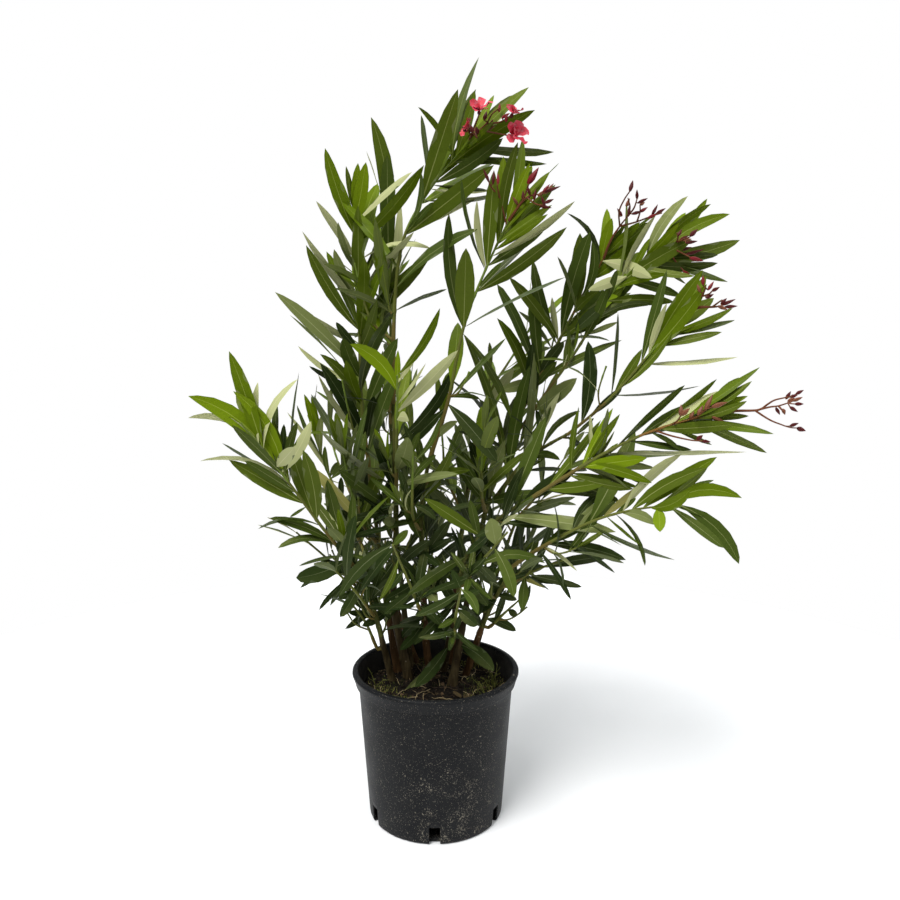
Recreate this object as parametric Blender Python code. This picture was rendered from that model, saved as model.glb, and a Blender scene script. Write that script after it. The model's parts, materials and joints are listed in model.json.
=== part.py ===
"""Potted oleander: a shrub of many canes in a round nursery pot.

Metres, +Z up. The pot stands on the origin, and the shrub's front faces -Y.
Each cane is one tapering limb that stands on the compost. Each mass of foliage
is one stem with whorls of three leaves, grown by a seeded rule.
"""

import math
import random
from typing import NamedTuple

import bmesh
import bpy
from mathutils import Vector
from mathutils.bvhtree import BVHTree

UP = Vector((0, 0, 1))
CLEAR = 0.0003  # gap between two pieces that touch

# Pot
RIM_RADIUS = 0.1205
RIM_HEIGHT = 0.216
LIP_DEPTH = 0.020
LIP_LEAN = 0.0045  # how far the lip's lower edge lies inside the rim
LIP_ROUND = 0.004
BODY_RADIUS = 0.1115
FOOT_RADIUS = 0.0975
FOOT_ROUND = 0.003
WALL = 0.0025
POT_SIDES = 36
SLOTS = 6
SLOT_WIDTH = 0.015
SLOT_HEIGHT = 0.026
SLOT_DEPTH = 0.016

# Compost
SOIL_LEVEL = 0.183

# Limbs and twigs
CANE_SIDES = 8
CANE_STEP = 0.045  # length of one straight piece of a cane
FLARE = 1.22  # a cane's foot against the cane just above it
FLARE_HEIGHT = 0.03
TWIG_SIDES = 3
TWIG_STEP = 0.050
TWIG_TIP = 0.0012
SHOOT_FOOT = 0.9  # a mass's stem against the limb it stands on
SIDE_FOOT = 0.75  # the same, further, where it stands on the limb's side
STUB = 0.006  # length that a side stem runs straight out of its limb

# Leaves
WHORL = 3
LEAF_RATIO = 0.23  # width against length
LEAF_THICKNESS = 0.016  # against length
LEAF_WIDEST = 0.42  # where a leaf is widest, from its root
WIDE_ANGLE = math.radians(54)  # between the lowest leaves and their stem
NARROW_ANGLE = math.radians(15)  # between the topmost leaves and their stem
BLOSSOM_ANGLE = math.radians(24)  # the same, where they stand round a flower head
TIP_SIZE = 0.58  # the topmost leaves' length against the longest
BLOSSOM_TIP_SIZE = 0.70  # the same, round a flower head
LIGHT = 0.16  # how far leaves lean up to the light
CROWDING = 1.3  # how much closer the whorls stand towards the tip
TIPWARD = 0.6  # share of the stem from where its leaves get shorter
ROOT_SIZE = 0.5  # how much shorter the lowest leaves are
ARCH = 0.12  # usual bend of the lowest leaves
LEAF_MARGIN = 0.0006  # space kept round a leaf

# Blossom
BUD_LENGTH = 0.012
BUD_RADIUS = 0.0026
STALK_RADIUS = 0.0011
BLOOM_RADIUS = 0.016
BLOOM_DEPTH = 0.010
HEAD_REACH = 0.030  # height of an open flower head's main stalk
BUD_REACH = 0.018  # the same, of a head of buds
LONG_BUD_REACH = 0.066  # the same, of a long one
SUNK_STALK = 0.006  # length of it inside the shoot
STALK_LENGTHS = (0.016, 0.030)  # of the side stalks
SPIRAL = 2.4  # angle from one side stalk to the following one


class Cane(NamedTuple):
    """A limb. It stands on the compost, or on another cane at a share of its length."""

    name: str
    parent: str
    at: float
    way: tuple
    foot_radius: float
    tip_radius: float


class Mass(NamedTuple):
    """A mass of foliage: one stem that starts at its cane's tip (at 1) or side."""

    name: str
    parent: str
    at: float
    way: tuple
    leaf: float  # length of its longest leaves
    whorls: int
    bare: float = 0.05  # share of the stem below the lowest whorl
    droop: float = 0.0  # extra bend of its leaves
    side_twigs: int = 0
    blossom: str = ""
    seed: int = 0


CANES = (
    Cane("cane_tall", "", 0, ((-0.040, 0.025, 0), (-0.060, 0.016, 0.300),
         (-0.056, 0.006, 0.450), (-0.058, 0.000, 0.600)), 0.0072, 0.0042),
    Cane("cane_left", "", 0, ((-0.058, 0.048, 0), (-0.074, 0.048, 0.290),
         (-0.092, 0.052, 0.440)), 0.0062, 0.0042),
    Cane("cane_back_left", "", 0, ((-0.040, 0.068, 0), (-0.058, 0.094, 0.350),
         (-0.072, 0.122, 0.560)), 0.0055, 0.0034),
    Cane("cane_middle", "", 0, ((-0.008, 0.030, 0), (-0.016, 0.016, 0.270),
         (-0.020, -0.004, 0.440), (-0.008, -0.020, 0.520)), 0.0060, 0.0038),
    Cane("cane_right", "", 0, ((0.024, 0.003, 0), (0.045, 0.022, 0.300),
         (0.080, 0.036, 0.465), (0.126, 0.030, 0.590)), 0.0066, 0.0038),
    Cane("bough_right", "cane_right", 0.66, ((0.130, 0.000, 0.520),
         (0.180, -0.044, 0.560)), 0.0036, 0.0028),
    Cane("cane_far_right", "", 0, ((0.010, 0.052, 0), (0.031, 0.000, 0.310),
         (0.044, -0.042, 0.392), (0.088, -0.064, 0.449), (0.130, -0.078, 0.480)), 0.0056, 0.0034),
    Cane("cane_low_right", "", 0, ((0.044, 0.036, 0), (0.072, 0.006, 0.285),
         (0.108, -0.052, 0.380)), 0.0054, 0.0034),
    Cane("cane_low_left", "", 0, ((-0.064, 0.016, 0), (-0.088, -0.020, 0.310),
         (-0.110, -0.046, 0.376)), 0.0052, 0.0034),
    Cane("cane_back_right", "", 0, ((0.024, 0.074, 0), (0.034, 0.094, 0.350),
         (0.056, 0.116, 0.510)), 0.0054, 0.0034),
    Cane("cane_back", "", 0, ((-0.014, 0.082, 0), (-0.024, 0.140, 0.340),
         (-0.034, 0.190, 0.430)), 0.0052, 0.0034),
    Cane("cane_back_far_left", "", 0, ((-0.031, 0.085, 0), (-0.090, 0.132, 0.330),
         (-0.130, 0.170, 0.410)), 0.0050, 0.0032),
    Cane("cane_back_far_right", "", 0, ((0.052, 0.068, 0), (0.100, 0.124, 0.330),
         (0.130, 0.160, 0.400)), 0.0050, 0.0032),
)

MASSES = (
    Mass("foliage_top", "cane_tall", 1, ((-0.055, 0.000, 0.735), (-0.040, 0.000, 0.828),
         (0.004, 0.000, 0.900), (0.046, 0.000, 0.946)), 0.158, 9, side_twigs=1, blossom="flowers", seed=102),
    Mass("foliage_left_upper", "cane_left", 1, ((-0.109, 0.056, 0.600), (-0.111, 0.060, 0.720),
         (-0.116, 0.060, 0.868)), 0.155, 11, side_twigs=1, seed=291),
    Mass("foliage_back_left_upper", "cane_back_left", 1, ((-0.072, 0.140, 0.745),
         (-0.082, 0.146, 0.915)), 0.140, 9, seed=297),
    Mass("foliage_centre", "cane_tall", 0.66, ((-0.050, -0.052, 0.560),
         (-0.046, -0.094, 0.640)), 0.115, 6, bare=0.10, seed=21),
    Mass("foliage_middle_upper", "cane_middle", 1, ((0.020, -0.040, 0.610), (0.038, -0.050, 0.700),
         (0.070, -0.052, 0.782), (0.104, -0.050, 0.852)), 0.145, 10, blossom="buds", seed=197),
    Mass("foliage_right_upper", "cane_right", 1, ((0.178, 0.020, 0.692),
         (0.215, 0.020, 0.765), (0.238, 0.020, 0.805)), 0.140, 8, blossom="long buds", seed=196),
    Mass("foliage_right_top", "cane_right", 0.92, ((0.190, -0.022, 0.668),
         (0.252, -0.034, 0.768), (0.316, -0.030, 0.808)), 0.134, 7, bare=0.34, blossom="buds", seed=120),
    Mass("foliage_right_outer", "bough_right", 1, ((0.231, -0.080, 0.613),
         (0.297, -0.100, 0.697), (0.330, -0.104, 0.728)), 0.130, 7, bare=0.22, blossom="buds", seed=121),
    Mass("foliage_far_right", "cane_far_right", 1, ((0.211, -0.104, 0.538),
         (0.280, -0.118, 0.574), (0.354, -0.122, 0.594)), 0.135, 9, droop=0.03, blossom="long buds", seed=12),
    Mass("foliage_low_right", "cane_low_right", 1, ((0.152, -0.090, 0.422),
         (0.224, -0.130, 0.468), (0.298, -0.160, 0.486)), 0.142, 8, droop=0.14, seed=14),
    Mass("foliage_low_left", "cane_low_left", 1, ((-0.148, -0.080, 0.440),
         (-0.198, -0.105, 0.522), (-0.240, -0.120, 0.582)), 0.140, 8, seed=119),
    Mass("foliage_left", "cane_left", 0.62, ((-0.132, 0.048, 0.430),
         (-0.166, 0.070, 0.500), (-0.192, 0.080, 0.575)), 0.120, 7, bare=0.20, seed=75),
    Mass("foliage_back_right_upper", "cane_back_right", 1, ((0.087, 0.140, 0.613),
         (0.130, 0.156, 0.675), (0.162, 0.160, 0.740)), 0.125, 8, seed=116),
    Mass("foliage_back", "cane_back", 1, ((-0.044, 0.250, 0.520),
         (-0.050, 0.275, 0.590)), 0.120, 7, droop=0.05, seed=62),
    Mass("foliage_back_far_left", "cane_back_far_left", 1, ((-0.166, 0.215, 0.480),
         (-0.188, 0.240, 0.540)), 0.115, 6, droop=0.05, seed=118),
    Mass("foliage_back_far_right", "cane_back_far_right", 1, ((0.176, 0.205, 0.440),
         (0.215, 0.238, 0.485)), 0.115, 6, droop=0.05, seed=253),
    Mass("foliage_back_middle", "cane_back_right", 0.55, ((0.050, 0.170, 0.430),
         (0.068, 0.240, 0.500)), 0.115, 5, bare=0.20, droop=0.05, seed=60),
    Mass("foliage_back_low_left", "cane_back_far_left", 0.45, ((-0.120, 0.160, 0.320),
         (-0.150, 0.215, 0.350)), 0.100, 4, bare=0.20, droop=0.10, seed=263),
    Mass("foliage_back_low_right", "cane_back_far_right", 0.45, ((0.115, 0.150, 0.315),
         (0.150, 0.200, 0.345)), 0.100, 4, bare=0.20, droop=0.10, seed=279),
    Mass("foliage_back_low", "cane_back", 0.45, ((-0.010, 0.180, 0.330),
         (0.000, 0.245, 0.370)), 0.100, 4, bare=0.20, droop=0.10, seed=164),
    Mass("foliage_front_left", "cane_low_left", 0.60, ((-0.104, -0.100, 0.360),
         (-0.128, -0.165, 0.415)), 0.095, 5, bare=0.20, droop=0.10, seed=181),
    Mass("foliage_front", "cane_middle", 0.30, ((-0.030, -0.090, 0.360),
         (-0.048, -0.175, 0.440)), 0.100, 6, bare=0.26, droop=0.10, seed=194),
    Mass("foliage_front_middle", "cane_right", 0.24, ((0.028, -0.080, 0.310),
         (0.034, -0.190, 0.390)), 0.095, 6, bare=0.30, droop=0.12, seed=277),
    Mass("foliage_front_right", "cane_far_right", 0.50, ((0.060, -0.110, 0.400),
         (0.088, -0.195, 0.460)), 0.100, 6, bare=0.26, droop=0.10, seed=6),
    Mass("foliage_low_left_side", "cane_low_left", 0.30, ((-0.100, -0.010, 0.285),
         (-0.128, -0.016, 0.325)), 0.060, 4, bare=0.25, droop=0.15, seed=180),
    Mass("foliage_left_side", "cane_left", 0.42, ((-0.120, 0.030, 0.335),
         (-0.156, 0.030, 0.374)), 0.070, 4, bare=0.25, droop=0.12, seed=243),
    Mass("foliage_left_outer", "cane_low_left", 0.80, ((-0.150, -0.044, 0.390),
         (-0.188, -0.050, 0.426)), 0.085, 4, bare=0.20, droop=0.10, seed=121),
    Mass("foliage_right_side", "cane_low_right", 0.80, ((0.134, -0.040, 0.368),
         (0.180, -0.048, 0.388)), 0.095, 5, bare=0.18, droop=0.12, seed=16),
    Mass("foliage_low_right_side", "cane_low_right", 0.42, ((0.094, 0.000, 0.290),
         (0.120, -0.010, 0.318)), 0.070, 4, bare=0.20, droop=0.15, seed=137),
    Mass("foliage_middle_right", "cane_right", 0.62, ((0.064, -0.024, 0.485),
         (0.066, -0.060, 0.565)), 0.110, 6, bare=0.16, seed=17),
    Mass("foliage_middle_left", "cane_middle", 0.70, ((-0.030, -0.040, 0.440),
         (-0.028, -0.070, 0.540)), 0.105, 6, bare=0.18, seed=281),
    Mass("foliage_middle_back", "cane_back_right", 0.75, ((0.016, 0.110, 0.470),
         (0.006, 0.090, 0.580)), 0.120, 6, bare=0.14, seed=146),
    Mass("foliage_right_inner", "cane_right", 0.80, ((0.120, 0.070, 0.520),
         (0.160, 0.096, 0.575)), 0.105, 5, bare=0.16, seed=5),
    Mass("foliage_left_inner", "cane_left", 0.80, ((-0.110, 0.000, 0.440),
         (-0.125, -0.030, 0.530)), 0.115, 6, bare=0.14, seed=79),
)


class Leaf(NamedTuple):
    """A leaf's root, the way it points, the way its upper side faces, and its sizes."""

    root: Vector
    aim: Vector
    face: Vector
    length: float
    width: float
    arch: float


def finish(name, colour, roughness, metallic=0.0):
    """A plain material with this colour and roughness."""
    material = bpy.data.materials.new(name)
    material.use_nodes = True
    shader = material.node_tree.nodes["Principled BSDF"]
    shader.inputs["Base Color"].default_value = (*colour, 1)
    shader.inputs["Roughness"].default_value = roughness
    shader.inputs["Metallic"].default_value = metallic
    return material


def add_object(name, points, faces, material=None, smooth=False):
    """A mesh object in the scene."""
    mesh = bpy.data.meshes.new(name)
    mesh.from_pydata([tuple(point) for point in points], [], faces)
    mesh.validate()
    if smooth:
        mesh.shade_smooth()
        mesh.set_sharp_from_angle(angle=math.radians(40))
    if material:
        mesh.materials.append(material)
    made = bpy.data.objects.new(name, mesh)
    bpy.context.collection.objects.link(made)
    return made


def turned(name, profile, material, sides=POT_SIDES):
    """A turned solid from an outline of (radius, height) that starts and ends on the axis."""
    points = [Vector((0, 0, profile[0][1]))]
    for radius, height in profile[1:-1]:
        for side in range(sides):
            angle = math.tau * side / sides
            points.append(Vector((radius * math.cos(angle), radius * math.sin(angle), height)))
    points.append(Vector((0, 0, profile[-1][1])))
    rings = len(profile) - 2
    faces = []
    for side in range(sides):
        following = (side + 1) % sides
        faces.append((0, 1 + following, 1 + side))
        for ring in range(rings - 1):
            low, high = 1 + ring * sides, 1 + (ring + 1) * sides
            faces.append((low + side, low + following, high + following, high + side))
        last = 1 + (rings - 1) * sides
        faces.append((last + side, last + following, len(points) - 1))
    return add_object(name, points, faces, material, smooth=True)


def arc(centre, radius, start, stop, steps):
    """Points on an arc round centre, as (radius, height), between two angles in degrees."""
    return [
        (
            centre[0] + radius * math.cos(math.radians(start + (stop - start) * step / steps)),
            centre[1] + radius * math.sin(math.radians(start + (stop - start) * step / steps)),
        )
        for step in range(steps + 1)
    ]


def wall_radius(height):
    """The outer radius of the pot's tapering wall at this height."""
    top = RIM_HEIGHT - LIP_DEPTH
    return FOOT_RADIUS + (BODY_RADIUS - FOOT_RADIUS) * height / top


def make_pot(material):
    """The pot: a tapering wall with a rolled lip, a flat floor and slots at its foot."""
    lip_low = RIM_HEIGHT - LIP_DEPTH
    outline = [(0, 0)]
    outline += arc((FOOT_RADIUS - FOOT_ROUND, FOOT_ROUND), FOOT_ROUND, -90, -8, 3)
    outline += [(BODY_RADIUS, lip_low), (RIM_RADIUS - LIP_LEAN, lip_low + 0.001)]
    outline += arc((RIM_RADIUS - LIP_ROUND, RIM_HEIGHT - LIP_ROUND), LIP_ROUND, 0, 90, 3)
    outline += [(BODY_RADIUS - WALL + 0.002, RIM_HEIGHT - 0.0015)]
    outline += [(BODY_RADIUS - WALL, lip_low), (wall_radius(WALL) - WALL, WALL), (0, WALL)]
    pot = turned("pot", outline, material)
    for slot in range(SLOTS):
        angle = math.tau * slot / SLOTS - math.pi / 2
        bpy.ops.mesh.primitive_cube_add(size=1)
        cutter = bpy.context.object
        cutter.name = f"slot_cutter_{slot}"
        cutter.scale = (SLOT_DEPTH, SLOT_WIDTH, SLOT_HEIGHT * 2)
        reach = FOOT_RADIUS
        cutter.location = (reach * math.cos(angle), reach * math.sin(angle), 0)
        cutter.rotation_euler = (0, 0, angle)
        cutter.hide_render = True
        cutter.display_type = "WIRE"
        cut = pot.modifiers.new(f"slot_{slot}", "BOOLEAN")
        cut.operation = "DIFFERENCE"
        cut.object = cutter
    return pot


def make_compost(material):
    """The compost that fills the pot, clear of its wall and floor."""
    low, gap = WALL + CLEAR, WALL + CLEAR
    outline = [(0, low), (wall_radius(low) - gap - CLEAR, low),
               (wall_radius(SOIL_LEVEL) - gap - CLEAR, SOIL_LEVEL), (0, SOIL_LEVEL)]
    return turned("compost", outline, material)


def smooth_line(points, step):
    """A smooth line through the points, in straight pieces of about this length."""
    points = [Vector(point) for point in points]
    ends = [2 * points[0] - points[1]] + points + [2 * points[-1] - points[-2]]
    fine = []
    for before, start, stop, after in zip(ends, ends[1:], ends[2:], ends[3:]):
        for tick in range(12):
            t = tick / 12
            fine.append(0.5 * (2 * start + (stop - before) * t
                               + (2 * before - 5 * start + 4 * stop - after) * t ** 2
                               + (3 * start - before - 3 * stop + after) * t ** 3))
    fine.append(points[-1])
    length = sum((b - a).length for a, b in zip(fine, fine[1:]))
    pieces = max(2, round(length / step))
    return [place_on(fine, share / pieces)[0] for share in range(pieces + 1)]


def place_on(line, share):
    """The point at a share of the line's length, and the way the line runs there."""
    lengths = [(b - a).length for a, b in zip(line, line[1:])]
    left = max(0.0, min(1.0, share)) * sum(lengths)
    for start, stop, length in zip(line, line[1:], lengths):
        if left <= length or stop is line[-1]:
            return start.lerp(stop, left / length), (stop - start).normalized()
        left -= length


def across(direction):
    """Two directions at right angles to this one and to each other."""
    other = Vector((1, 0, 0)) if abs(direction.x) < 0.7 else Vector((0, 1, 0))
    first = direction.cross(other).normalized()
    return first, direction.cross(first).normalized()


def tube_mesh(line, radii, sides, foot_way=None):
    """Points and faces of a tapering tube along the line, closed with flat ends.

    Its foot is cut square to foot_way, or else to the line.
    """
    points, faces = [], []
    first, second = across(line[1] - line[0])
    for index, (centre, radius) in enumerate(zip(line, radii)):
        before, after = line[max(0, index - 1)], line[min(len(line) - 1, index + 1)]
        along = (after - before).normalized()
        if index == 0 and foot_way:
            along = foot_way
        first = (first - along * first.dot(along)).normalized()
        second = along.cross(first)
        for side in range(sides):
            angle = math.tau * side / sides
            points.append(centre + radius * (math.cos(angle) * first + math.sin(angle) * second))
    for ring in range(len(line) - 1):
        for side in range(sides):
            following = (side + 1) % sides
            low, high = ring * sides, (ring + 1) * sides
            faces.append((low + side, low + following, high + following, high + side))
    faces.append(tuple(reversed(range(sides))))
    faces.append(tuple(range(len(points) - sides, len(points))))
    return points, faces


def spindle_mesh(root, tip, ring):
    """A closed shape of six faces: two ends, and three points round its widest place.

    Seen from the tip, the ring runs clockwise.
    """
    faces = []
    for corner in range(3):
        here, following = 2 + corner, 2 + (corner + 1) % 3
        faces += [(0, here, following), (1, following, here)]
    return [root, tip, *ring], faces


def leaf_curve(leaf, share):
    """A point on the leaf's midrib: it starts along its aim and bends back by its arch."""
    tip = leaf.root + leaf.length * (leaf.aim - leaf.arch * leaf.face)
    turn = leaf.root + 0.5 * leaf.length * leaf.aim
    return (1 - share) ** 2 * leaf.root + 2 * share * (1 - share) * turn + share ** 2 * tip


def leaf_mesh(leaf, margin=0.0):
    """The six faces of a leaf: a flat upper side, and a lower one with a keel for its midrib."""
    widest = leaf_curve(leaf, LEAF_WIDEST)
    along = (leaf_curve(leaf, LEAF_WIDEST + 0.05) - leaf_curve(leaf, LEAF_WIDEST - 0.05)).normalized()
    aside = along.cross(leaf.face).normalized()
    upward = aside.cross(along)
    breadth = leaf.width / 2 + margin
    keel = leaf.length * LEAF_THICKNESS + margin
    ring = (widest + aside * breadth, widest - aside * breadth, widest - upward * keel)
    return spindle_mesh(leaf.root, leaf_curve(leaf, 1), ring)


def leaves_on(twig, droop):
    """The leaves along a twig: whorls of three that crowd and close up towards its tip."""
    narrow, tip_size = NARROW_ANGLE, TIP_SIZE
    if twig.blossom:
        narrow, tip_size = BLOSSOM_ANGLE, BLOSSOM_TIP_SIZE
    for whorl in range(twig.whorls):
        rule = random.Random(f"{twig.name} {whorl}")
        share = 1 - (1 - whorl / (twig.whorls - 1)) ** CROWDING
        centre, along = place_on(twig.line, twig.bare + (0.995 - twig.bare) * share)
        first, second = across(along)
        turn = whorl * math.pi / WHORL + rule.uniform(-0.25, 0.25)
        for blade in range(WHORL):
            size = twig.leaf * (1 - (1 - tip_size) * (max(0, share - TIPWARD) / (1 - TIPWARD)) ** 1.2
                                  - ROOT_SIZE * max(0, 0.5 - share) ** 2)
            size *= rule.uniform(0.84, 1.08)
            angle = WIDE_ANGLE + (narrow - WIDE_ANGLE) * share ** 1.2 + rule.uniform(-0.16, 0.16)
            round_stem = turn + blade * math.tau / WHORL + rule.uniform(-0.2, 0.2)
            outward = math.cos(round_stem) * first + math.sin(round_stem) * second
            aim = math.cos(angle) * along + math.sin(angle) * outward
            face = math.sin(angle) * along - math.cos(angle) * outward
            aim = (aim + LIGHT * UP).normalized()
            face = face + 0.3 * UP + rule.uniform(-0.3, 0.3) * aim.cross(face)
            face = (face - aim * face.dot(aim)).normalized()
            arch = 0.02 + (ARCH + droop) * (1 - share) + droop * 0.5 + rule.uniform(-0.03, 0.05)
            width = size * LEAF_RATIO * rule.uniform(0.9, 1.12)
            root = centre + along * rule.uniform(-0.0015, 0.0015) - aim * 0.001
            yield Leaf(root, aim, face, size, width, arch)


def side_twigs(mass, line):
    """The twigs that branch from a mass's stem, each as (name, line)."""
    length = sum((b - a).length for a, b in zip(line, line[1:]))
    for number in range(mass.side_twigs):
        name = f"{mass.name} {mass.seed} twig {number}"
        rule = random.Random(name)
        start, along = place_on(line, mass.bare + 0.10 + 0.42 * number + rule.uniform(0, 0.08))
        first, second = across(along)
        turn = rule.uniform(0, math.tau)
        outward = math.cos(turn) * first + math.sin(turn) * second
        reach = min(0.12, 0.36 * length)
        bend = start + reach * 0.45 * (outward * 0.75 + along * 0.6)
        tip = start + reach * (outward * 0.55 + along * 0.75 + UP * 0.15)
        yield name, smooth_line((start, bend, tip), TWIG_STEP)


def taper(line, foot, tip, flare=1.0):
    """A radius for each point of the line, from its foot to its tip, with a flared foot."""
    radii = []
    for index, point in enumerate(line):
        radius = foot + (tip - foot) * index / (len(line) - 1)
        swell = (flare - 1) * max(0, 1 - (point - line[0]).length / FLARE_HEIGHT)
        radii.append(radius * (1 + swell))
    return radii


class Limb(NamedTuple):
    """A cane as built: its line, and its radius at each end, leaving out the flare."""

    line: list
    foot_radius: float
    tip_radius: float


def radius_at(limb, share):
    """The limb's radius at a share of its length."""
    return limb.foot_radius + (limb.tip_radius - limb.foot_radius) * share


def line_from(limb, at, way, step):
    """The line of a stem that stands 0.3 mm clear of a limb, and the way its foot is cut.

    It starts beyond the limb's tip where at is 1, or else on the limb's side.
    """
    centre, along = place_on(limb.line, at)
    if at == 1:
        return smooth_line([centre + along * CLEAR, *way], step), along
    outward = Vector(way[0]) - centre
    outward = (outward - along * outward.dot(along)).normalized()
    foot = centre + outward * (radius_at(limb, at) + CLEAR)
    return [foot, *smooth_line([foot + outward * STUB + along * STUB / 2, *way], step)], outward


def make_cane(cane, limbs, material):
    """One cane, as a limb that later canes and masses start on."""
    if cane.parent:
        line, foot_way = line_from(limbs[cane.parent], cane.at, cane.way, CANE_STEP)
    else:
        foot = (*cane.way[0][:2], SOIL_LEVEL + CLEAR)
        line, foot_way = smooth_line([foot, *cane.way[1:]], CANE_STEP), UP
    limbs[cane.name] = Limb(line, cane.foot_radius, cane.tip_radius)
    radii = taper(line, cane.foot_radius, cane.tip_radius, 1.0 if cane.parent else FLARE)
    points, faces = tube_mesh(line, radii, CANE_SIDES, foot_way)
    return add_object(cane.name, points, faces, material, smooth=True)


def bud_meshes(name, tip, along, kind):
    """The stalks and buds of an unopened flower head, as meshes."""
    rule = random.Random(f"{name} buds")
    first, second = across(along)
    reach = LONG_BUD_REACH if kind == "long buds" else BUD_REACH
    top = tip + reach * (along + 0.25 * UP).normalized()
    yield tube_mesh([tip - along * SUNK_STALK, top], [STALK_RADIUS * 1.3, STALK_RADIUS], TWIG_SIDES)
    for branch in range(3):
        turn = branch * SPIRAL + rule.uniform(-0.4, 0.4)
        outward = math.cos(turn) * first + math.sin(turn) * second
        way = (along + outward * rule.uniform(0.4, 0.9)).normalized()
        start = tip + (top - tip) * (1 - 0.2 * branch)
        end = start + way * rule.uniform(*STALK_LENGTHS)
        yield tube_mesh([start - way * 0.0015, end], [STALK_RADIUS, STALK_RADIUS * 0.8], TWIG_SIDES)
        for bud in range(2):
            lean = (way + outward * rule.uniform(-0.5, 0.7) + UP * rule.uniform(-0.1, 0.4)).normalized()
            yield bud_mesh(end - way * 0.004 * bud, lean, BUD_LENGTH * rule.uniform(0.8, 1.2))


def bud_mesh(root, aim, length):
    """One bud, as a slim spindle."""
    first, second = across(aim)
    widest = root + aim * length * 0.4
    ring = [widest + BUD_RADIUS * (math.cos(angle) * first - math.sin(angle) * second)
            for angle in (0, math.tau / 3, 2 * math.tau / 3)]
    return spindle_mesh(root - aim * 0.002, root + aim * length, ring)


def bloom_mesh(centre, aim):
    """One open flower: a five-sided cup between two points."""
    first, second = across(aim)
    rim = [centre + BLOOM_RADIUS * (math.cos(math.tau * side / 5) * first
                                    + math.sin(math.tau * side / 5) * second) for side in range(5)]
    points = [centre - aim * BLOOM_DEPTH, centre + aim * BLOOM_DEPTH * 0.3, *rim]
    faces = []
    for side in range(5):
        here, following = 2 + side, 2 + (side + 1) % 5
        faces += [(0, following, here), (1, here, following)]
    return points, faces


def flower_meshes(name, tip, along):
    """The stalks, open flowers and buds of a flower head, as meshes."""
    rule = random.Random(f"{name} flowers")
    first, second = across(along)
    top = tip + HEAD_REACH * (along + 0.4 * UP).normalized()
    yield tube_mesh([tip - along * SUNK_STALK, top], [STALK_RADIUS * 1.4, STALK_RADIUS], TWIG_SIDES)
    for branch in range(5):
        turn = branch * SPIRAL + rule.uniform(-0.3, 0.3)
        outward = math.cos(turn) * first + math.sin(turn) * second
        way = (along * 0.7 + outward * 0.8).normalized()
        start = tip + (top - tip) * (1 - 0.14 * branch)
        end = start + way * rule.uniform(0.020, 0.030)
        yield tube_mesh([start - way * 0.0015, end], [STALK_RADIUS, STALK_RADIUS], TWIG_SIDES)
        if branch % 2:
            yield bud_mesh(end, way, BUD_LENGTH)
        else:
            yield bloom_mesh(end + way * BLOOM_DEPTH * 0.8, way)


def solid_tree(meshes):
    """A tree that tells whether another mesh touches any of these meshes."""
    points, faces = [], []
    for mesh_points, mesh_faces in meshes:
        first = len(points)
        points += mesh_points
        faces += [tuple(first + corner for corner in face) for face in mesh_faces]
    return BVHTree.FromPolygons(points, faces)


def touches(mesh, tree):
    """Whether this mesh crosses the tree's."""
    return bool(BVHTree.FromPolygons(*mesh).overlap(tree))


def joined(name, meshes, material):
    """One solid from closed meshes that run into each other: only its one main body is kept."""
    stem = add_object(name, *meshes[0], material)
    group = bpy.data.collections.new(f"{name}_pieces")
    for number, (points, faces) in enumerate(meshes[1:]):
        piece = add_object(f"{name}_piece_{number}", points, faces)
        bpy.context.collection.objects.unlink(piece)
        group.objects.link(piece)
    union = stem.modifiers.new("union", "BOOLEAN")
    union.operation = "UNION"
    union.operand_type = "COLLECTION"
    union.solver = "EXACT"
    union.collection = group
    bpy.context.view_layer.update()
    whole = bpy.data.meshes.new_from_object(stem.evaluated_get(bpy.context.evaluated_depsgraph_get()))
    stem.modifiers.clear()
    stem.data = whole
    for piece in list(group.objects):
        bpy.data.objects.remove(piece)
    bpy.data.collections.remove(group)
    keep_main_body(whole)
    whole.materials.clear()
    whole.materials.append(material)
    return stem


def keep_main_body(mesh):
    """Fills sealed hollows and drops loose scraps: both are shells apart from the main one."""
    shape = bmesh.new()
    shape.from_mesh(mesh)
    bmesh.ops.triangulate(shape, faces=shape.faces)
    unseen, shells = set(shape.verts), []
    while unseen:
        edge, shell = [unseen.pop()], []
        while edge:
            vertex = edge.pop()
            shell.append(vertex)
            for link in vertex.link_edges:
                other = link.other_vert(vertex)
                if other in unseen:
                    unseen.remove(other)
                    edge.append(other)
        shells.append(shell)
    shells.sort(key=len)
    for shell in shells[:-1]:
        bmesh.ops.delete(shape, geom=shell, context="VERTS")
    shape.to_mesh(mesh)
    shape.free()


class Twig(NamedTuple):
    """A mass's stem or one of its side twigs, with what its leaves are grown from."""

    name: str
    line: list
    foot_way: Vector
    foot_radius: float
    leaf: float
    whorls: int
    bare: float
    blossom: str


def twigs_of(mass, limbs):
    """A mass's stem, and its side twigs."""
    limb = limbs[mass.parent]
    foot = SHOOT_FOOT * radius_at(limb, mass.at) * (1 if mass.at == 1 else SIDE_FOOT)
    line, foot_way = line_from(limb, mass.at, mass.way, TWIG_STEP)
    twigs = [Twig(f"{mass.name} {mass.seed}", line, foot_way, foot, mass.leaf, mass.whorls,
                  mass.bare, mass.blossom)]
    for name, side in side_twigs(mass, line):
        twigs.append(Twig(name, side, None, foot * 0.55, mass.leaf * 0.75, 3, 0.2, ""))
    return twigs


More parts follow.
